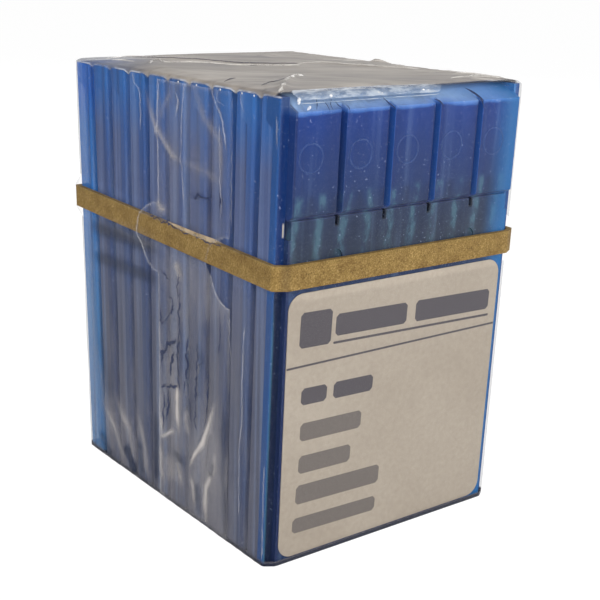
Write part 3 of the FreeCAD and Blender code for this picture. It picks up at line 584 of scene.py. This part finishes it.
# Sharp creases on the left face, drawn in pale film that partly paints their highlights
SHARP_LEFT = [
    ([(8.2, 55.8), (7.8, 54.5), (6.5, 53.8), (6.3, 51.7), (6.4, 48.6)], 0.16),
    ([(2.1, 55.5), (1.8, 53.9), (2.4, 50.9)], 0.2),
    ([(-2.2, 54.3), (-2.8, 53.3), (-2.2, 51.4)], 0.22),
    ([(-11.9, 56.0), (-11.3, 55.1), (-11.5, 54.3), (-12.8, 53.9)], 0.14),
    ([(-16.0, 55.8), (-16.2, 54.4), (-16.8, 53.7)], 0.14),
    ([(-22.8, 53.9), (-23.0, 50.5)], 0.14),
    ([(-17.3, 28.9), (-17.0, 22.7), (-17.0, 16.7), (-16.6, 13.3), (-16.7, 4.8)], 0.16),
    ([(-21.7, 13.2), (-21.5, 1.0)], 0.16),
    ([(-11.8, 51.8), (-12.3, 40.9)], 0.14),
    ([(-4.2, 55.9), (-3.5, 48.8), (-4.0, 41.0)], 0.14),
    ([(-9.7, 55.9), (-11.1, 54.0), (-12.5, 51.9), (-13.2, 49.0)], 0.2),
    ([(1.9, 11.6), (1.6, 9.4), (1.2, 8.8), (-0.3, 10.0), (-1.8, 10.7)], 0.2),
]
# Pale lines on the top: raised creases whose pale tone partly paints their highlights
PALE_TOP = [
    ([(-12.4, 21.8), (-9.5, 19.0), (-7.9, 16.3), (-5.9, 13.8)], 0.3),
    ([(-9.5, 11.0), (-8.2, 9.1), (-4.1, 4.5), (1.8, 0.2)], 0.36),
    ([(-15.7, 8.9), (-12.8, 12.6), (-11.6, 14.0), (-12.5, 11.2), (-12.0, 9.8), (-7.6, 9.8)], 0.34),
    ([(-16.7, 17.1), (-15.5, 16.2), (-15.1, 13.5)], 0.34),
    ([(-16.6, 19.0), (-14.6, 20.4), (-12.6, 20.9)], 0.24),
    ([(-18.0, -22.4), (-15.8, -20.2), (-13.2, -16.9), (-10.0, -13.7), (-5.7, -10.6)], 0.4),
    ([(8.9, -20.5), (13.8, -20.9), (16.6, -21.8)], 0.3),
    ([(13.4, -16.5), (15.8, -16.8), (17.0, -19.5), (17.0, -21.8)], 0.3),
    ([(16.6, -11.5), (16.4, -15.8), (15.4, -20.2)], 0.24),
    ([(11.5, -20.8), (14.4, -19.2), (16.8, -18.8)], 0.24),
    (RIGHT_SWEEP, 0.22),
]
# Painted shadows: dark lines just in front of the top's folds
FOLD_SHADOWS_TOP = [
    ([(-12.1, 20.2), (-9.2, 16.0), (-5.2, 10.5), (-2.0, 5.7), (3.2, 1.8)], 0.18),
    ([(-3.8, 5.3), (-3.2, 2.6)], 0.16),
    ([(-16.8, -17.6), (-14.3, -15.7), (-10.3, -13.6)], 0.2),
    ([(-17.6, -11.3), (-15.2, -10.0)], 0.26),
]
# Painted shadows of small folds under the hem
FOLD_SHADOWS_FRONT = [
    ([(-13.3, 55.5), (-12.9, 55.0), (-12.7, 54.3)], 0.24),
    ([(-12.1, 55.5), (-12.4, 55.0), (-12.3, 54.5)], 0.18),
    ([(-14.1, 55.6), (-14.2, 55.1), (-14.5, 54.6)], 0.26),
    ([(-11.7, 55.4), (-11.4, 54.9), (-10.9, 54.6)], 0.2),
    ([(-10.3, 54.9), (-10.0, 54.6), (-9.9, 54.1)], 0.22),
    ([(-4.8, 55.4), (-4.2, 54.8), (-3.3, 54.1)], 0.3),
    ([(2.8, 54.9), (3.5, 54.6), (4.3, 53.9)], 0.26),
    ([(8.2, 55.9), (9.6, 55.2), (10.4, 54.4), (10.9, 53.4)], 0.36),
    ([(9.0, 55.6), (10.2, 54.8), (10.8, 54.2)], 0.2),
]
DARK_LAP = [
    ([(-0.5, 28.7), (-1.4, 27.6), (-0.5, 26.1), (1.4, 24.5), (1.6, 26.8)], 0.26),
    ([(-3.0, 30.0), (-2.8, 23.3), (-2.6, 21.3), (-2.9, 16.6)], 0.3),
    ([(-2.3, 23.2), (0.2, 21.7), (1.4, 19.9), (1.5, 18.5)], 0.5),
    ([(-1.9, 21.5), (-1.0, 19.8), (-0.6, 17.9)], 0.5),
    ([(1.6, 15.9), (-0.4, 16.4), (-2.6, 16.9)], 0.36),
    ([(1.4, 15.2), (0.9, 14.4), (1.1, 11.9), (1.0, 9.8)], 0.3),
    ([(-0.2, 15.8), (-0.1, 14.0), (0.3, 11.4)], 0.3),
    ([(-4.8, 24.2), (-4.8, 21.9), (-4.6, 19.5), (-4.1, 17.7), (-4.2, 16.4)], 0.36),
    ([(-5.3, 16.4), (-5.5, 14.8), (-5.8, 13.1)], 0.2),
    ([(-7.1, 24.2), (-7.2, 21.3), (-7.0, 17.9), (-6.7, 14.5), (-7.0, 12.5)], 0.3),
    ([(-7.4, 21.4), (-8.9, 22.3), (-8.2, 22.8)], 0.28),
    ([(-9.8, 21.4), (-9.7, 18.8), (-9.5, 16.4), (-9.3, 13.7)], 0.26),
    ([(-12.1, 29.7), (-12.3, 26.0), (-12.0, 24.0)], 0.16),
    ([(-5.3, 42.5), (-6.9, 42.5), (-8.2, 42.8), (-10.2, 42.8)], 0.3),
    ([(-2.7, 33.1), (-2.7, 31.2), (-2.5, 28.5)], 0.2),
    ([(1.6, 31.6), (0.9, 31.4), (-0.8, 30.8)], 0.2),
    ([(1.6, 28.9), (0.5, 28.9)], 0.2),
    ([(-12.1, 44.2), (-12.4, 40.9)], 0.2),
    ([(3.8, 38.5), (-0.6, 38.2), (-5.3, 38.0), (-9.8, 37.8), (-13.2, 37.8)], 0.16),
]
# Blisters in the hem, whose brightness is a painted glint
BUBBLES = [
    (-16.4, 56.3, 0.2, 0.16, 1.7, 1.1), (-16.5, 55.85, 0.16, 0.12, 1.6, 1.0),
    (-15.4, 54.8, 0.17, 0.14, 2.3, 0.9), (-12.0, 56.7, 0.2, 0.16, 1.3, 0.3),
    (-5.2, 56.8, 0.16, 0.13, 1.3, -0.5), (-4.7, 56.6, 0.12, 0.1, 1.5, -0.6),
    (1.6, 56.8, 0.15, 0.12, 1.6, 0.2), (2.3, 56.7, 0.12, 0.1, 1.4, 0.6),
]
EDGE_GLINTS = (-18.6, -16.3, -11.9, -6.9, -2.8)


def strength_at(lines, point, ends=5, halo=0.0):
    """Greatest strength of a set of soft lines at a point of their face."""
    best = 0.0
    for line, strength, width in lines:
        if not near(line, point, width * 5):
            continue
        gap, share = distance_to(line, point)
        taper = min(1.0, 0.2 + share * ends, 0.2 + (1.0 - share) * ends)
        core = math.exp(-(gap / width) ** 2)
        glow = halo * math.exp(-(gap / width / 2.5) ** 2)
        best = max(best, strength * taper * ((1 - halo) * core + glow))
    return best


def near(line, point, reach):
    """Whether a point is in a line's box, grown by a reach."""
    return all(
        min(spot[axis] for spot in line) - reach < point[axis]
        < max(spot[axis] for spot in line) + reach
        for axis in (0, 1)
    )


def perimeter(count, grow):
    """Points and inward directions round the block, on a rounded rectangle outside it."""
    half_x = (FILM_RIGHT - FILM_LEFT) / 2 + grow
    half_y = (FILM_BACK - FILM_FRONT) / 2 + grow
    radius = 9.0
    straight_x, straight_y = 2 * (half_x - radius), 2 * (half_y - radius)
    quarter = math.pi * radius / 2
    total = 2 * (straight_x + straight_y) + 4 * quarter
    sides = [
        ((-half_x + radius, -half_y), (1, 0), straight_x, (0, 1)),
        ((half_x, -half_y + radius), (0, 1), straight_y, (-1, 0)),
        ((half_x - radius, half_y), (-1, 0), straight_x, (0, -1)),
        ((-half_x, half_y - radius), (0, -1), straight_y, (1, 0)),
    ]
    made = []
    for index in range(count):
        left = total * index / count
        for start, run, length, inward in sides:
            if left >= length + quarter:
                left -= length + quarter
                continue
            along, turn = min(left, length), max(0.0, left - length) / radius
            facing = [inward[axis] * math.cos(turn) - run[axis] * math.sin(turn) for axis in (0, 1)]
            x, y = [start[axis] + run[axis] * along + (inward[axis] - facing[axis]) * radius
                    for axis in (0, 1)]
            made.append(((x, y + FILM_MIDDLE), facing))
            break
    return made


def surface_of(piece):
    """The surface of a piece or a solid for rays, in millimetres."""
    return BVHTree.FromPolygons(
        [vertex.co / MM for vertex in piece.data.vertices],
        [tuple(polygon.vertices) for polygon in piece.data.polygons],
    )


def film_piece(finish):
    """The film as one sheet drawn over the solid, with its creases, notches and slack."""
    surface = surface_of(nodes["shrink_wrap"])
    columns, rows, rounds, under = 420, 150, 60, 10
    around = perimeter(columns, 3.0)
    foot, top = 0.05, CASE_TOP - 0.1
    points = []
    shades = {"milk": {}, "painted_shade": {}, "notch": {}}
    for turn in range(under):
        share = 0.15 + 0.85 * turn / under
        for (x, y), (in_x, in_y) in around:
            hit = surface.ray_cast(Vector((x, y, foot + 0.2)), Vector((in_x, in_y, 0)))[0]
            points.append((hit.x * share, hit.y * share, 0.02))
    for row in range(rows + 1):
        height = foot + (top - foot) * row / rows
        for (x, y), (in_x, in_y) in around:
            start = Vector((x, y, height))
            hit = surface.ray_cast(start, Vector((in_x, in_y, 0)))[0]
            hit = hit or surface.find_nearest(start)[0]
            lift = side_lift(hit, (in_x, in_y), height)
            points.append((hit.x - in_x * lift, hit.y - in_y * lift, height))
            if in_x > 0.9:
                last = len(points) - 1
                shades["milk"][last] = strength_at(MILKY_STREAKS, (hit.y, height), 3, 0.3)
                # Painted shade, carried on the points for the film's material
                shades["painted_shade"][last] = strength_at(PAINTED_SHADE_PATCHES, (hit.y, height))
                shades["notch"][last] = notch(hit.y)
    rim = points[-columns:]
    for turn in range(1, rounds + 1):
        share = (1 - turn / rounds) ** 0.9
        for x, y, _ in rim:
            flat = (x * share, FILM_MIDDLE + (y - FILM_MIDDLE) * share)
            points.append((*flat, top_height(surface, flat, share)))
    faces = []
    for row in range(under + rows + rounds):
        for column in range(columns):
            a = row * columns + column
            b = row * columns + (column + 1) % columns
            faces.append((a, b, b + columns, a + columns))
    faces.append(tuple(range(columns - 1, -1, -1)))
    piece = new_piece("wrap_film", points, faces, finish)
    for name, values in shades.items():
        paint_points(piece, name, [values.get(index, 0.0) for index in range(len(points))])
    return piece


def notch(y):
    """How deep the film sinks between two cases at a place along the stack."""
    seam = min(CASE_SEAMS, key=lambda place: abs(place - y))
    depth = 0.85 + 0.8 * noise.noise(Vector((seam * 0.4, 0.0, 7.0)))
    return depth * math.exp(-((y - seam) / 0.5) ** 2)


def side_lift(hit, inward, height):
    """How far the film stands off its solid at a place on a side."""
    spot = Vector((hit.x, hit.y, height * 0.5))
    lift = 0.05 + max(0.0, noise.noise(spot * 0.16) * 0.08)
    if abs(inward[0]) > 0.9:
        pucker = abs(noise.noise(Vector((0.0, hit.y * 0.5, height * 0.08))))
        lift += 0.06 * (1 - pucker) ** 6
        near_top = max(0.0, 1 - (CASE_TOP - height) / 1.6)
        lift -= 0.35 * near_top * notch(hit.y)
    if inward[0] > 0.9:
        lift += strength_at(SIDE_CREASES, (hit.y, height))
    return min(lift, 0.6)


def top_height(surface, flat, share):
    """Height of the film on the top: slack, gathers and creases over the flat solid."""
    inside = (flat[0] * 0.995, flat[1] * 0.995)
    base = surface.ray_cast(Vector((*inside, CASE_TOP + 5)), TOP_AIM)[0]
    level = min(base.z, CASE_TOP + 0.2) if base and base.z > CASE_TOP - 1 else CASE_TOP
    spot = Vector((flat[0], flat[1], 0))
    calm = min(1.0, (1 - share) * 9)
    inner = min(1.0, (FILM_BACK - flat[1]) / 9, (FILM_RIGHT - flat[0]) / 9)
    waves = 0.30 * noise.noise(spot * 0.075) + 0.07 * noise.noise(spot * 0.25)
    fold = 1 - abs(noise.noise(Vector((flat[0] * 0.14, flat[1] * 0.5, 9)))) * 2.4
    right = max(0.0, min(1.0, (flat[0] - 6) / 9))
    rise = 0.36 + inner * (waves + right * 0.12 * max(0.0, fold) ** 2)
    rise = max(0.06, rise) + inner * strength_at(TOP_CREASES, flat) + strength_at(TOP_BUMP, flat)
    edge_of_left = max(0.0, 1 - (flat[0] - FILM_LEFT) / 1.4)
    sunk = 0.5 * edge_of_left * notch(flat[1])
    return level + 0.04 + calm * min(rise, 1.2) - sunk


# Creases, hem and bubbles, laid on the film


def smooth_line(line, step):
    """Points along a smooth curve through the given ones."""
    made = []
    last = len(line) - 1
    for index in range(last):
        a, b = line[max(index - 1, 0)], line[index]
        c, d = line[index + 1], line[min(index + 2, last)]
        count = max(2, round((c - b).length / step))
        for turn in range(count):
            t = turn / count
            made.append(0.5 * (2 * b + (c - a) * t + (2 * a - 5 * b + 4 * c - d) * t * t
                               + (3 * b - a - 3 * c + d) * t ** 3))
    return made + [line[-1]]


def drape(surface, spot, aim, lift):
    """The place where a ray from outside meets the film, lifted by a little."""
    hit = surface.ray_cast(spot - aim * 6, aim)[0]
    return (hit or spot) - aim * lift


class Relief:
    """Collects low ridges and blisters on the film into one mesh."""

    profile = [(share / 4, 1 - (share / 4) ** 2) for share in range(-4, 5)]

    def __init__(self, surface):
        self.surface = surface
        self.points = []
        self.faces = []

    def ridge(self, line, aim, width, height, waver=0.0, rest=0.02, swelling=0.5, ragged=0.4):
        """A low ridge along a line; it wavers, swells and is ragged by these amounts."""
        centres = smooth_line(line, 0.3)
        last = len(centres) - 1
        first = len(self.points)
        for index, centre in enumerate(centres):
            ahead = centres[min(index + 1, last)] - centres[max(index - 1, 0)]
            side = ahead.cross(aim).normalized()
            taper = min(1.0, 0.2 + index / 5, 0.2 + (last - index) / 5)
            shift = waver * (noise.noise(centre * 1.3) + ragged * noise.noise(centre * 5.0))
            swell = 0.8 + swelling * noise.noise(centre * 0.9 + Vector((5, 5, 5)))
            for across, up in self.profile:
                spot = centre + side * (across * width * 0.5 * taper * swell + shift)
                lift = rest + height * up * taper
                self.points.append(drape(self.surface, spot, aim, lift))
        step = len(self.profile)
        for index in range(last):
            for column in range(step - 1):
                a = first + index * step + column
                self.faces.append((a, a + step, a + step + 1, a + 1))

    def blister(self, centre, aim, radius, height, stretch=1.3, tilt=0.0):
        across = aim.cross(Vector((0.3, 0.2, 1.0))).normalized()
        upward = across.cross(aim)
        side = across * math.cos(tilt) + upward * math.sin(tilt)
        up = upward * math.cos(tilt) - across * math.sin(tilt)
        first = len(self.points)
        steps = 14
        self.points.append(drape(self.surface, centre, aim, height))
        for share, rise in ((0.45, 0.86), (0.8, 0.45), (1.0, 0.0)):
            for turn in range(steps):
                angle = 2 * math.pi * turn / steps
                wave = 1 + 0.18 * noise.noise(centre + Vector((angle, share, 0)))
                reach = radius * share * wave
                spot = centre + side * math.cos(angle) * reach * stretch
                spot += up * math.sin(angle) * reach
                self.points.append(drape(self.surface, spot, aim, 0.015 + height * rise))
        for turn in range(steps):
            after = (turn + 1) % steps
            self.faces.append((first, first + 1 + turn, first + 1 + after))
            for ring in range(2):
                a, b = first + 1 + ring * steps + turn, first + 1 + ring * steps + after
                self.faces.append((a, a + steps, b + steps, b))

    def piece(self, name, finish):
        made = new_piece(name, self.points, self.faces, finish)


LEFT_AIM, TOP_AIM, FRONT_AIM = Vector((1, 0, 0)), Vector((0, 0, -1)), Vector((0, 1, 0))
HEM_AIM = Vector((0, 0.6, -0.8))


def on_left(line):
    """Places on the left face, from depths and heights."""
    return [Vector((FILM_LEFT, y, z)) for y, z in line]


def on_front(line, y=COVER_FRONT):
    """Places on the front, from widths and heights."""
    return [Vector((x, y, z)) for x, z in line]


def sharp_creases(surface, finish):
    relief = Relief(surface)
    for line, width in SHARP_LEFT:
        relief.ridge(on_left(line), LEFT_AIM, width * 1.6, width * 0.6, 0.12)
    relief.piece("wrap_creases", finish)


def top_lines(surface, name, lines, finish):
    """Creases across the top: pale ones, partly painted highlight, or dark ones, painted shadows of
    folds.
    """
    relief = Relief(surface)
    for line, width in lines:
        spots = [Vector((x, y, CASE_TOP)) for x, y in line]
        relief.ridge(spots, TOP_AIM, width * 1.5, width * 0.4, 0.12, swelling=0.9)
    relief.piece(name, finish)


def dark_folds(surface, lap_surface, finish):
    """Painted shadows of short folds under the hem, and the dark web in the lap."""
    relief = Relief(surface)
    for line, width in FOLD_SHADOWS_FRONT:
        relief.ridge(on_front(line), FRONT_AIM, width, 0.03, 0.05)
    relief.surface = lap_surface
    for line, width in DARK_LAP:
        relief.ridge(on_left(line), LEFT_AIM, width * 1.15, 0.02, 0.3, swelling=1.2, ragged=1.1)
    relief.piece("wrap_fold_shadows_and_web", finish)


def hem(surface, finish):
    """Pale welded edge along the front of the top, thin and broken to the right."""
    relief = Relief(surface)
    weld = on_front([(-16.9, 56.3), (-6.0, 56.3), (4.6, 56.3)], FILM_FRONT + 1.1)
    relief.ridge(weld, HEM_AIM, 2.2, 0.03, 0.03, rest=0.08, swelling=0.08)
    rim = on_front([(-16.4, 55.6), (-6.0, 55.7), (4.0, 55.8)])
    relief.ridge(rim, HEM_AIM, 0.12, 0.0, 0.04, rest=0.05, swelling=0.3)
    relief.piece("wrap_hem", finish)


def bubbles(surface, finish):
    """Bright blisters in the hem, and glints on the left edge of the top: near-white film that paints
    their glints.
    """
    relief = Relief(surface)
    for x, z, radius, height, stretch, tilt in BUBBLES:
        relief.blister(Vector((x, COVER_FRONT, z)), HEM_AIM, radius, height, stretch, tilt)
    for y in EDGE_GLINTS:
        corner = Vector((FILM_LEFT, y, CASE_TOP))
        relief.blister(corner, Vector((0.8, 0, -0.6)), 0.1, 0.08)
    relief.piece("wrap_bubbles", finish)


# The lap on the left face

LAP_BACK = 2.0
TAB_RADIUS, TAB_CENTRE = 4.5, (2.0, 35.7)
BITE_RADIUS, BITE_CENTRE = 4.3, (-14.4, 34.6)
LAP_CREASES = [
    ([(4.9, 51.4), (0.8, 48.2), (-3.5, 45.4)], 0.24, 0.45),
    ([(-8.0, 47.0), (-10.5, 44.5), (-13.4, 41.0)], 0.16, 0.5),
    ([(-10.4, 17.2), (-9.3, 12.7), (-4.8, 6.5)], 0.26, 0.5),
    ([(-2.1, 15.6), (-2.4, 13.2), (-2.5, 10.7)], 0.22, 0.4),
    ([(-0.6, 9.4), (-6.2, 5.6), (-11.0, 1.9)], 0.25, 0.6),
]


def inside_lap(y, z):
    """Distance inside the lap's outline; negative outside it."""
    strip = min(y - LAP_FRONT, LAP_BACK - y, z - LAP_FOOT, LAP_TOP - z)
    tab = TAB_RADIUS - math.dist((y, z), TAB_CENTRE)
    bite = math.dist((y, z), BITE_CENTRE) - BITE_RADIUS
    return min(max(strip, tab), bite)


def lap_piece(surface, finish):
    """The welded strip: a second layer with a raised rim and small creases."""
    step = 0.2
    across = int((LAP_BACK + TAB_RADIUS - LAP_FRONT) / step) + 2
    upward = int((LAP_TOP - LAP_FOOT) / step) + 1
    points, index_of, faces, rims = [], {}, [], []
    for row in range(upward + 1):
        for column in range(across + 1):
            y, z = LAP_FRONT + column * step, LAP_FOOT + row * step
            depth = inside_lap(y, z)
            if depth < -step:
                continue
            rim = math.exp(-max(depth, 0.0) / 0.2)
            crumple = abs(noise.noise(Vector((y * 0.6, z * 0.35, 2)))) * 0.08
            lift = 0.05 + 0.10 * rim + crumple + strength_at(LAP_CREASES, (y, z))
            index_of[row, column] = len(points)
            points.append(drape(surface, Vector((FILM_LEFT, y, z)), LEFT_AIM, lift))
            fade = 1.0 if z < 40 or y > -10 else 0.5
            if y < -10:
                fade *= min(1.0, max(0.25, (z - 17) / 8))
            if z < LAP_FOOT + 1.5 and abs(y - LAP_FRONT) > 1 and abs(y - LAP_BACK) > 1:
                fade = 0.0
            # How strongly the rim carries its painted highlight
            rims.append(rim * fade)
    for row, column in list(index_of):
        square = [(row, column), (row + 1, column), (row + 1, column + 1), (row, column + 1)]
        if all(corner in index_of for corner in square):
            faces.append(tuple(index_of[corner] for corner in square))
    piece = new_piece("wrap_lap_film", points, faces, finish)
    paint_points(piece, "rim", rims)
    return piece


def lap_outline(surface, finish):
    """Bright line round the tab and the bite, where the welded edge stands up: a ridge of pale film
    that paints its highlight.
    """
    relief = Relief(surface)
    arcs = ((TAB_CENTRE, TAB_RADIUS, 1, 0.12, 0.05), (BITE_CENTRE, BITE_RADIUS, 7, 0.14, 0.04))
    for (y, z), radius, first, width, waver in arcs:
        turns = [step * math.pi / 12 for step in range(first, 12)]
        arc = on_left((y + radius * math.sin(turn), z + radius * math.cos(turn)) for turn in turns)
        relief.ridge(arc, LEFT_AIM, width, 0.08, waver)
    straights = ((LAP_FRONT, (55, 50, 45, 40.5), 0.12), (LAP_FRONT + 0.1, (30, 27, 23.5, 20), 0.3),
                 (LAP_BACK, (54.5, 50, 46, 41), 0.12))
    for y, heights, waver in straights:
        relief.ridge(on_left((y, z) for z in heights), LEFT_AIM, 0.12, 0.06, waver)
    relief.piece("wrap_lap_edges", finish)


def folded_corner(surface, finish):
    """Sliver of film turned over along the upper edge of the band."""
    outline = [(-1.1, 38.5), (-4.3, 38.5), (-7.6, 38.4), (-10.0, 38.4), (-12.4, 38.4),
               (-13.5, 38.2), (-10.9, 37.8), (-8.7, 37.8), (-6.5, 37.9), (-3.6, 38.1)]
    points = [drape(surface, spot, LEFT_AIM, 0.1 + 0.14 * (z > 38.2))
              for spot, (_, z) in zip(on_left(outline), outline)]
    middle = sum((Vector(point) for point in points), Vector()) / len(points)
    points.append(middle - LEFT_AIM * 0.15)
    last = len(outline)
    faces = [(index, (index + 1) % last, last) for index in range(last)]
    new_piece("wrap_fold", points, faces, finish)


# The label's print: a bold heading, a rule from edge to edge, and rows of plain bars

PRINT_BOLD = [
    (2.6, 7.2, 26.9, 31.2), (7.8, 18.9, 27.7, 30.4), (20.3, 33.0, 27.7, 30.4),
    (7.6, 33.2, 26.75, 27.05), (3.4, 7.2, 19.8, 21.9), (8.2, 14.3, 19.8, 21.9),
]
PRINT_PLAIN = [
    (3.6, 12.9, 15.2, 17.5), (3.7, 11.6, 11.0, 13.3), (3.6, 16.6, 7.0, 9.5), (3.4, 16.4, 3.2, 5.2),
]


def in_front(surface, x, z, lift=0.012):
    """The place just in front of a surface at this width and height."""
    hit = surface.ray_cast(Vector((x, FILM_FRONT - 5, z)), FRONT_AIM)[0]
    return (x, hit.y - lift, z)


def label_bars(name, bars, finish):
    """Bars as a thin layer of ink on the front of the label, from the case's lower left corner."""
    surface = surface_of(nodes["case_01_label"])
    turn = math.radians(1.5)
    points, faces = [], []
    for left, right, foot, top in bars:
        corner = min(0.4, (top - foot) * 0.3)
        outline = [(left + corner, foot), (right - corner, foot), (right, foot + corner),
                   (right, top - corner), (right - corner, top), (left + corner, top),
                   (left, top - corner), (left, foot + corner)]
        first = len(points)
        for across, up in outline:
            x = CASE_LEFT + across * math.cos(turn) + up * math.sin(turn)
            z = up * math.cos(turn) - across * math.sin(turn) + 0.5
            points.append(in_front(surface, x, z))
        faces.append(tuple(range(first, first + len(outline))))
    new_piece(name, points, faces, finish, smooth=False)


def label_rule(finish):
    """Thin rule across the whole label."""
    surface = surface_of(nodes["case_01_label"])
    points, faces = [], []
    steps = 12
    for step in range(steps + 1):
        share = step / steps
        x = LABEL_LEFT + 0.06 + (LABEL_RIGHT - LABEL_LEFT - 0.12) * share
        for rise in (-0.13, 0.13):
            points.append(in_front(surface, x, 25.1 + 0.1 * share + rise))
    for step in range(steps):
        a = step * 2
        faces.append((a, a + 2, a + 3, a + 1))
    new_piece("label_rule", points, faces, finish, smooth=False)


def ejector_rings(finish):
    """Faint round marks that the mould left on each lobe."""
    surface = surface_of(nodes["case_01_cover"])
    points, faces = [], []
    for lobe in range(5):
        centre_x, centre_z = (lobe - 2) * LOBE_PITCH - 0.8, 49.3
        first = len(points)
        steps = 48
        for step in range(steps):
            turn = 2 * math.pi * step / steps
            for radius, lift in ((1.54, 0.0), (1.6, 0.03), (1.68, 0.03), (1.74, 0.0)):
                x = centre_x + radius * math.cos(turn)
                z = centre_z + radius * math.sin(turn)
                points.append(in_front(surface, x, z, 0.003 + lift))
        for step in range(steps):
            here, there = first + step * 4, first + (step + 1) % steps * 4
            for ring in range(3):
                faces.append((here + ring, there + ring, there + ring + 1, here + ring + 1))
    new_piece("ejector_rings", points, faces, finish)


# Camera, light and floor


def add_camera():
    heading, down, roll = (math.radians(v) for v in (CAMERA_HEADING, CAMERA_DOWN, CAMERA_ROLL))
    ahead = Vector((math.sin(heading) * math.cos(down), math.cos(heading) * math.cos(down),
                    -math.sin(down)))
    level = ahead.cross(Vector((0, 0, 1))).normalized()
    up = level.cross(ahead)
    right = level * math.cos(roll) + up * math.sin(roll)
    turned = Matrix((right, right.cross(ahead), -ahead)).transposed()
    data = bpy.data.cameras.new("camera")
    data.lens = CAMERA_LENS
    data.sensor_width = 36
    data.clip_start = 0.005
    camera = into_scene("camera", data)
    camera.matrix_world = Matrix.Translation(Vector(CAMERA_PLACE) * MM) @ turned.to_4x4()
    bpy.context.scene.camera = camera


def soft_light(name, place, size, power, tint=(1.0, 1.0, 1.0)):
    """A square lamp that faces the middle of the pack."""
    data = bpy.data.lights.new(name, "AREA")
    data.size = size * MM
    data.energy = power
    data.color = tint
    lamp = into_scene(name, data)
    lamp.location = Vector(place) * MM
    aim = Vector((0, 0, 30)) * MM - lamp.location
    lamp.rotation_euler = aim.to_track_quat("-Z", "Y").to_euler()


def pale_world():
    world = bpy.data.worlds.new("studio")
    world.use_nodes = True
    bpy.context.scene.world = world
    tree = world.node_tree
    background = tree.nodes["Background"]
    path = tree.nodes.new("ShaderNodeLightPath")
    strength = tree.nodes.new("ShaderNodeMapRange")
    strength.inputs["To Min"].default_value = 0.32
    strength.inputs["To Max"].default_value = 1.0
    tree.links.new(path.outputs["Is Camera Ray"], strength.inputs["Value"])
    tree.links.new(strength.outputs["Result"], background.inputs["Strength"])
    background.inputs["Color"].default_value = (1.0, 1.0, 1.0, 1.0)


def pale_floor():
    """A white floor that shows the pack's shadow softly."""
    graph = Nodes("floor_white", WHITE, 0.9, Specular_IOR_Level=0.0)
    graph.shader.inputs["Base Color"].default_value = (0.9, 0.9, 0.9, 1.0)
    seen = graph.field("LightPath", "Is Camera Ray")
    plain = Field(graph, graph.shader.outputs[0])
    glow = graph.field("Emission", 0, {"Color": WHITE, "Strength": 1.16})
    blend = graph.field("MixShader", 0, {0: seen * 0.8, 1: plain, 2: glow})
    graph.feed(graph.tree.nodes["Material Output"].inputs["Surface"], blend)
    mesh = bpy.data.meshes.new("floor")
    corners = [(-3.0, -3.0, 0), (3.0, -3.0, 0), (3.0, 3.0, 0), (-3.0, 3.0, 0)]
    mesh.from_pydata(corners, [], [(0, 1, 2, 3)])
    mesh.materials.append(graph.made)
    floor = into_scene("floor", mesh)
    floor.location.z = -0.05 * MM


# Putting it together


def dress(node, finish):
    """Give a CAD node its material."""
    for slot in nodes[node].material_slots:
        slot.material = finish


def dress_cases():
    """Materials of the cases."""
    front, cover = front_plastic(), cover_plastic()
    tray = tray_plastic("case_tray_blue", (51, 108, 185), (84, 102, 152), (96, 102, 126))
    # The last case is lit from behind: its lighter tones, on tray and cover, are a painted glow of
    # that light
    last = tray_plastic("case_tray_backlit", (24, 108, 206), (36, 116, 198), (60, 132, 196))
    metal, card = steel(), paper()
    for number in CASE_NUMBERS:
        dress(f"case_{number:02d}_cover", {1: front, 10: last}.get(number, cover))
        dress(f"case_{number:02d}_tray", last if number == 10 else tray)
        dress(f"case_{number:02d}_needles", metal)
        dress(f"case_{number:02d}_label", card)


def wrap():
    """The film, the lap and all that is creased into them."""
    sheet = film_piece(film())
    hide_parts("shrink_wrap")
    surface = surface_of(sheet)
    clear = crease_film("wrap_crease_white", (196, 196, 202), 0.3)
    lap = lap_piece(surface, lap_film())
    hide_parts("wrap_lap")
    lap_outline(surface, clear)
    sharp_creases(surface, clear)
    # Pale film for the top's creases, partly a painted highlight
    pale = crease_film("wrap_top_pale", (222, 218, 212), 0.8)
    top_lines(surface, "wrap_top_pale_lines", PALE_TOP, pale)
    # Dark lines on the top are painted shadows of its folds
    top_lines(surface, "wrap_top_fold_shadow_lines", FOLD_SHADOWS_TOP,
              dark_film("wrap_top_fold_shadow", (98, 96, 104), 0.85))
    dark_folds(surface, surface_of(lap), dark_film("wrap_dark_blue", (42, 52, 84), 0.95))
    folded_corner(surface, crease_film("wrap_fold_tan", (196, 174, 142), 0.8))
    hem(surface, hem_film())
    bubbles(surface, crease_film("wrap_bubble_glint", (240, 241, 242), 0.95))


def main():
    bpy.context.scene.view_settings.view_transform = "Standard"
    add_camera()
    dress_cases()
    dress("rubber_band", rubber())
    wrap()
    bold = ink("label_ink", (72, 68, 76), (90, 86, 90))
    label_bars("label_print_bold", PRINT_BOLD, bold)
    plain = ink("label_ink_pale", (104, 98, 95), (118, 111, 106))
    label_bars("label_print", PRINT_PLAIN, plain)
    label_rule(bold)
    ejector_rings(mark_plastic())
    soft_light("key", (-300, -340, 260), 440, 2.65, (1.0, 0.985, 0.96))
    soft_light("rim", (260, 280, 340), 380, 0.8)
    soft_light("side", (330, -240, 120), 200, 0.7)
    pale_world()
    pale_floor()


main()
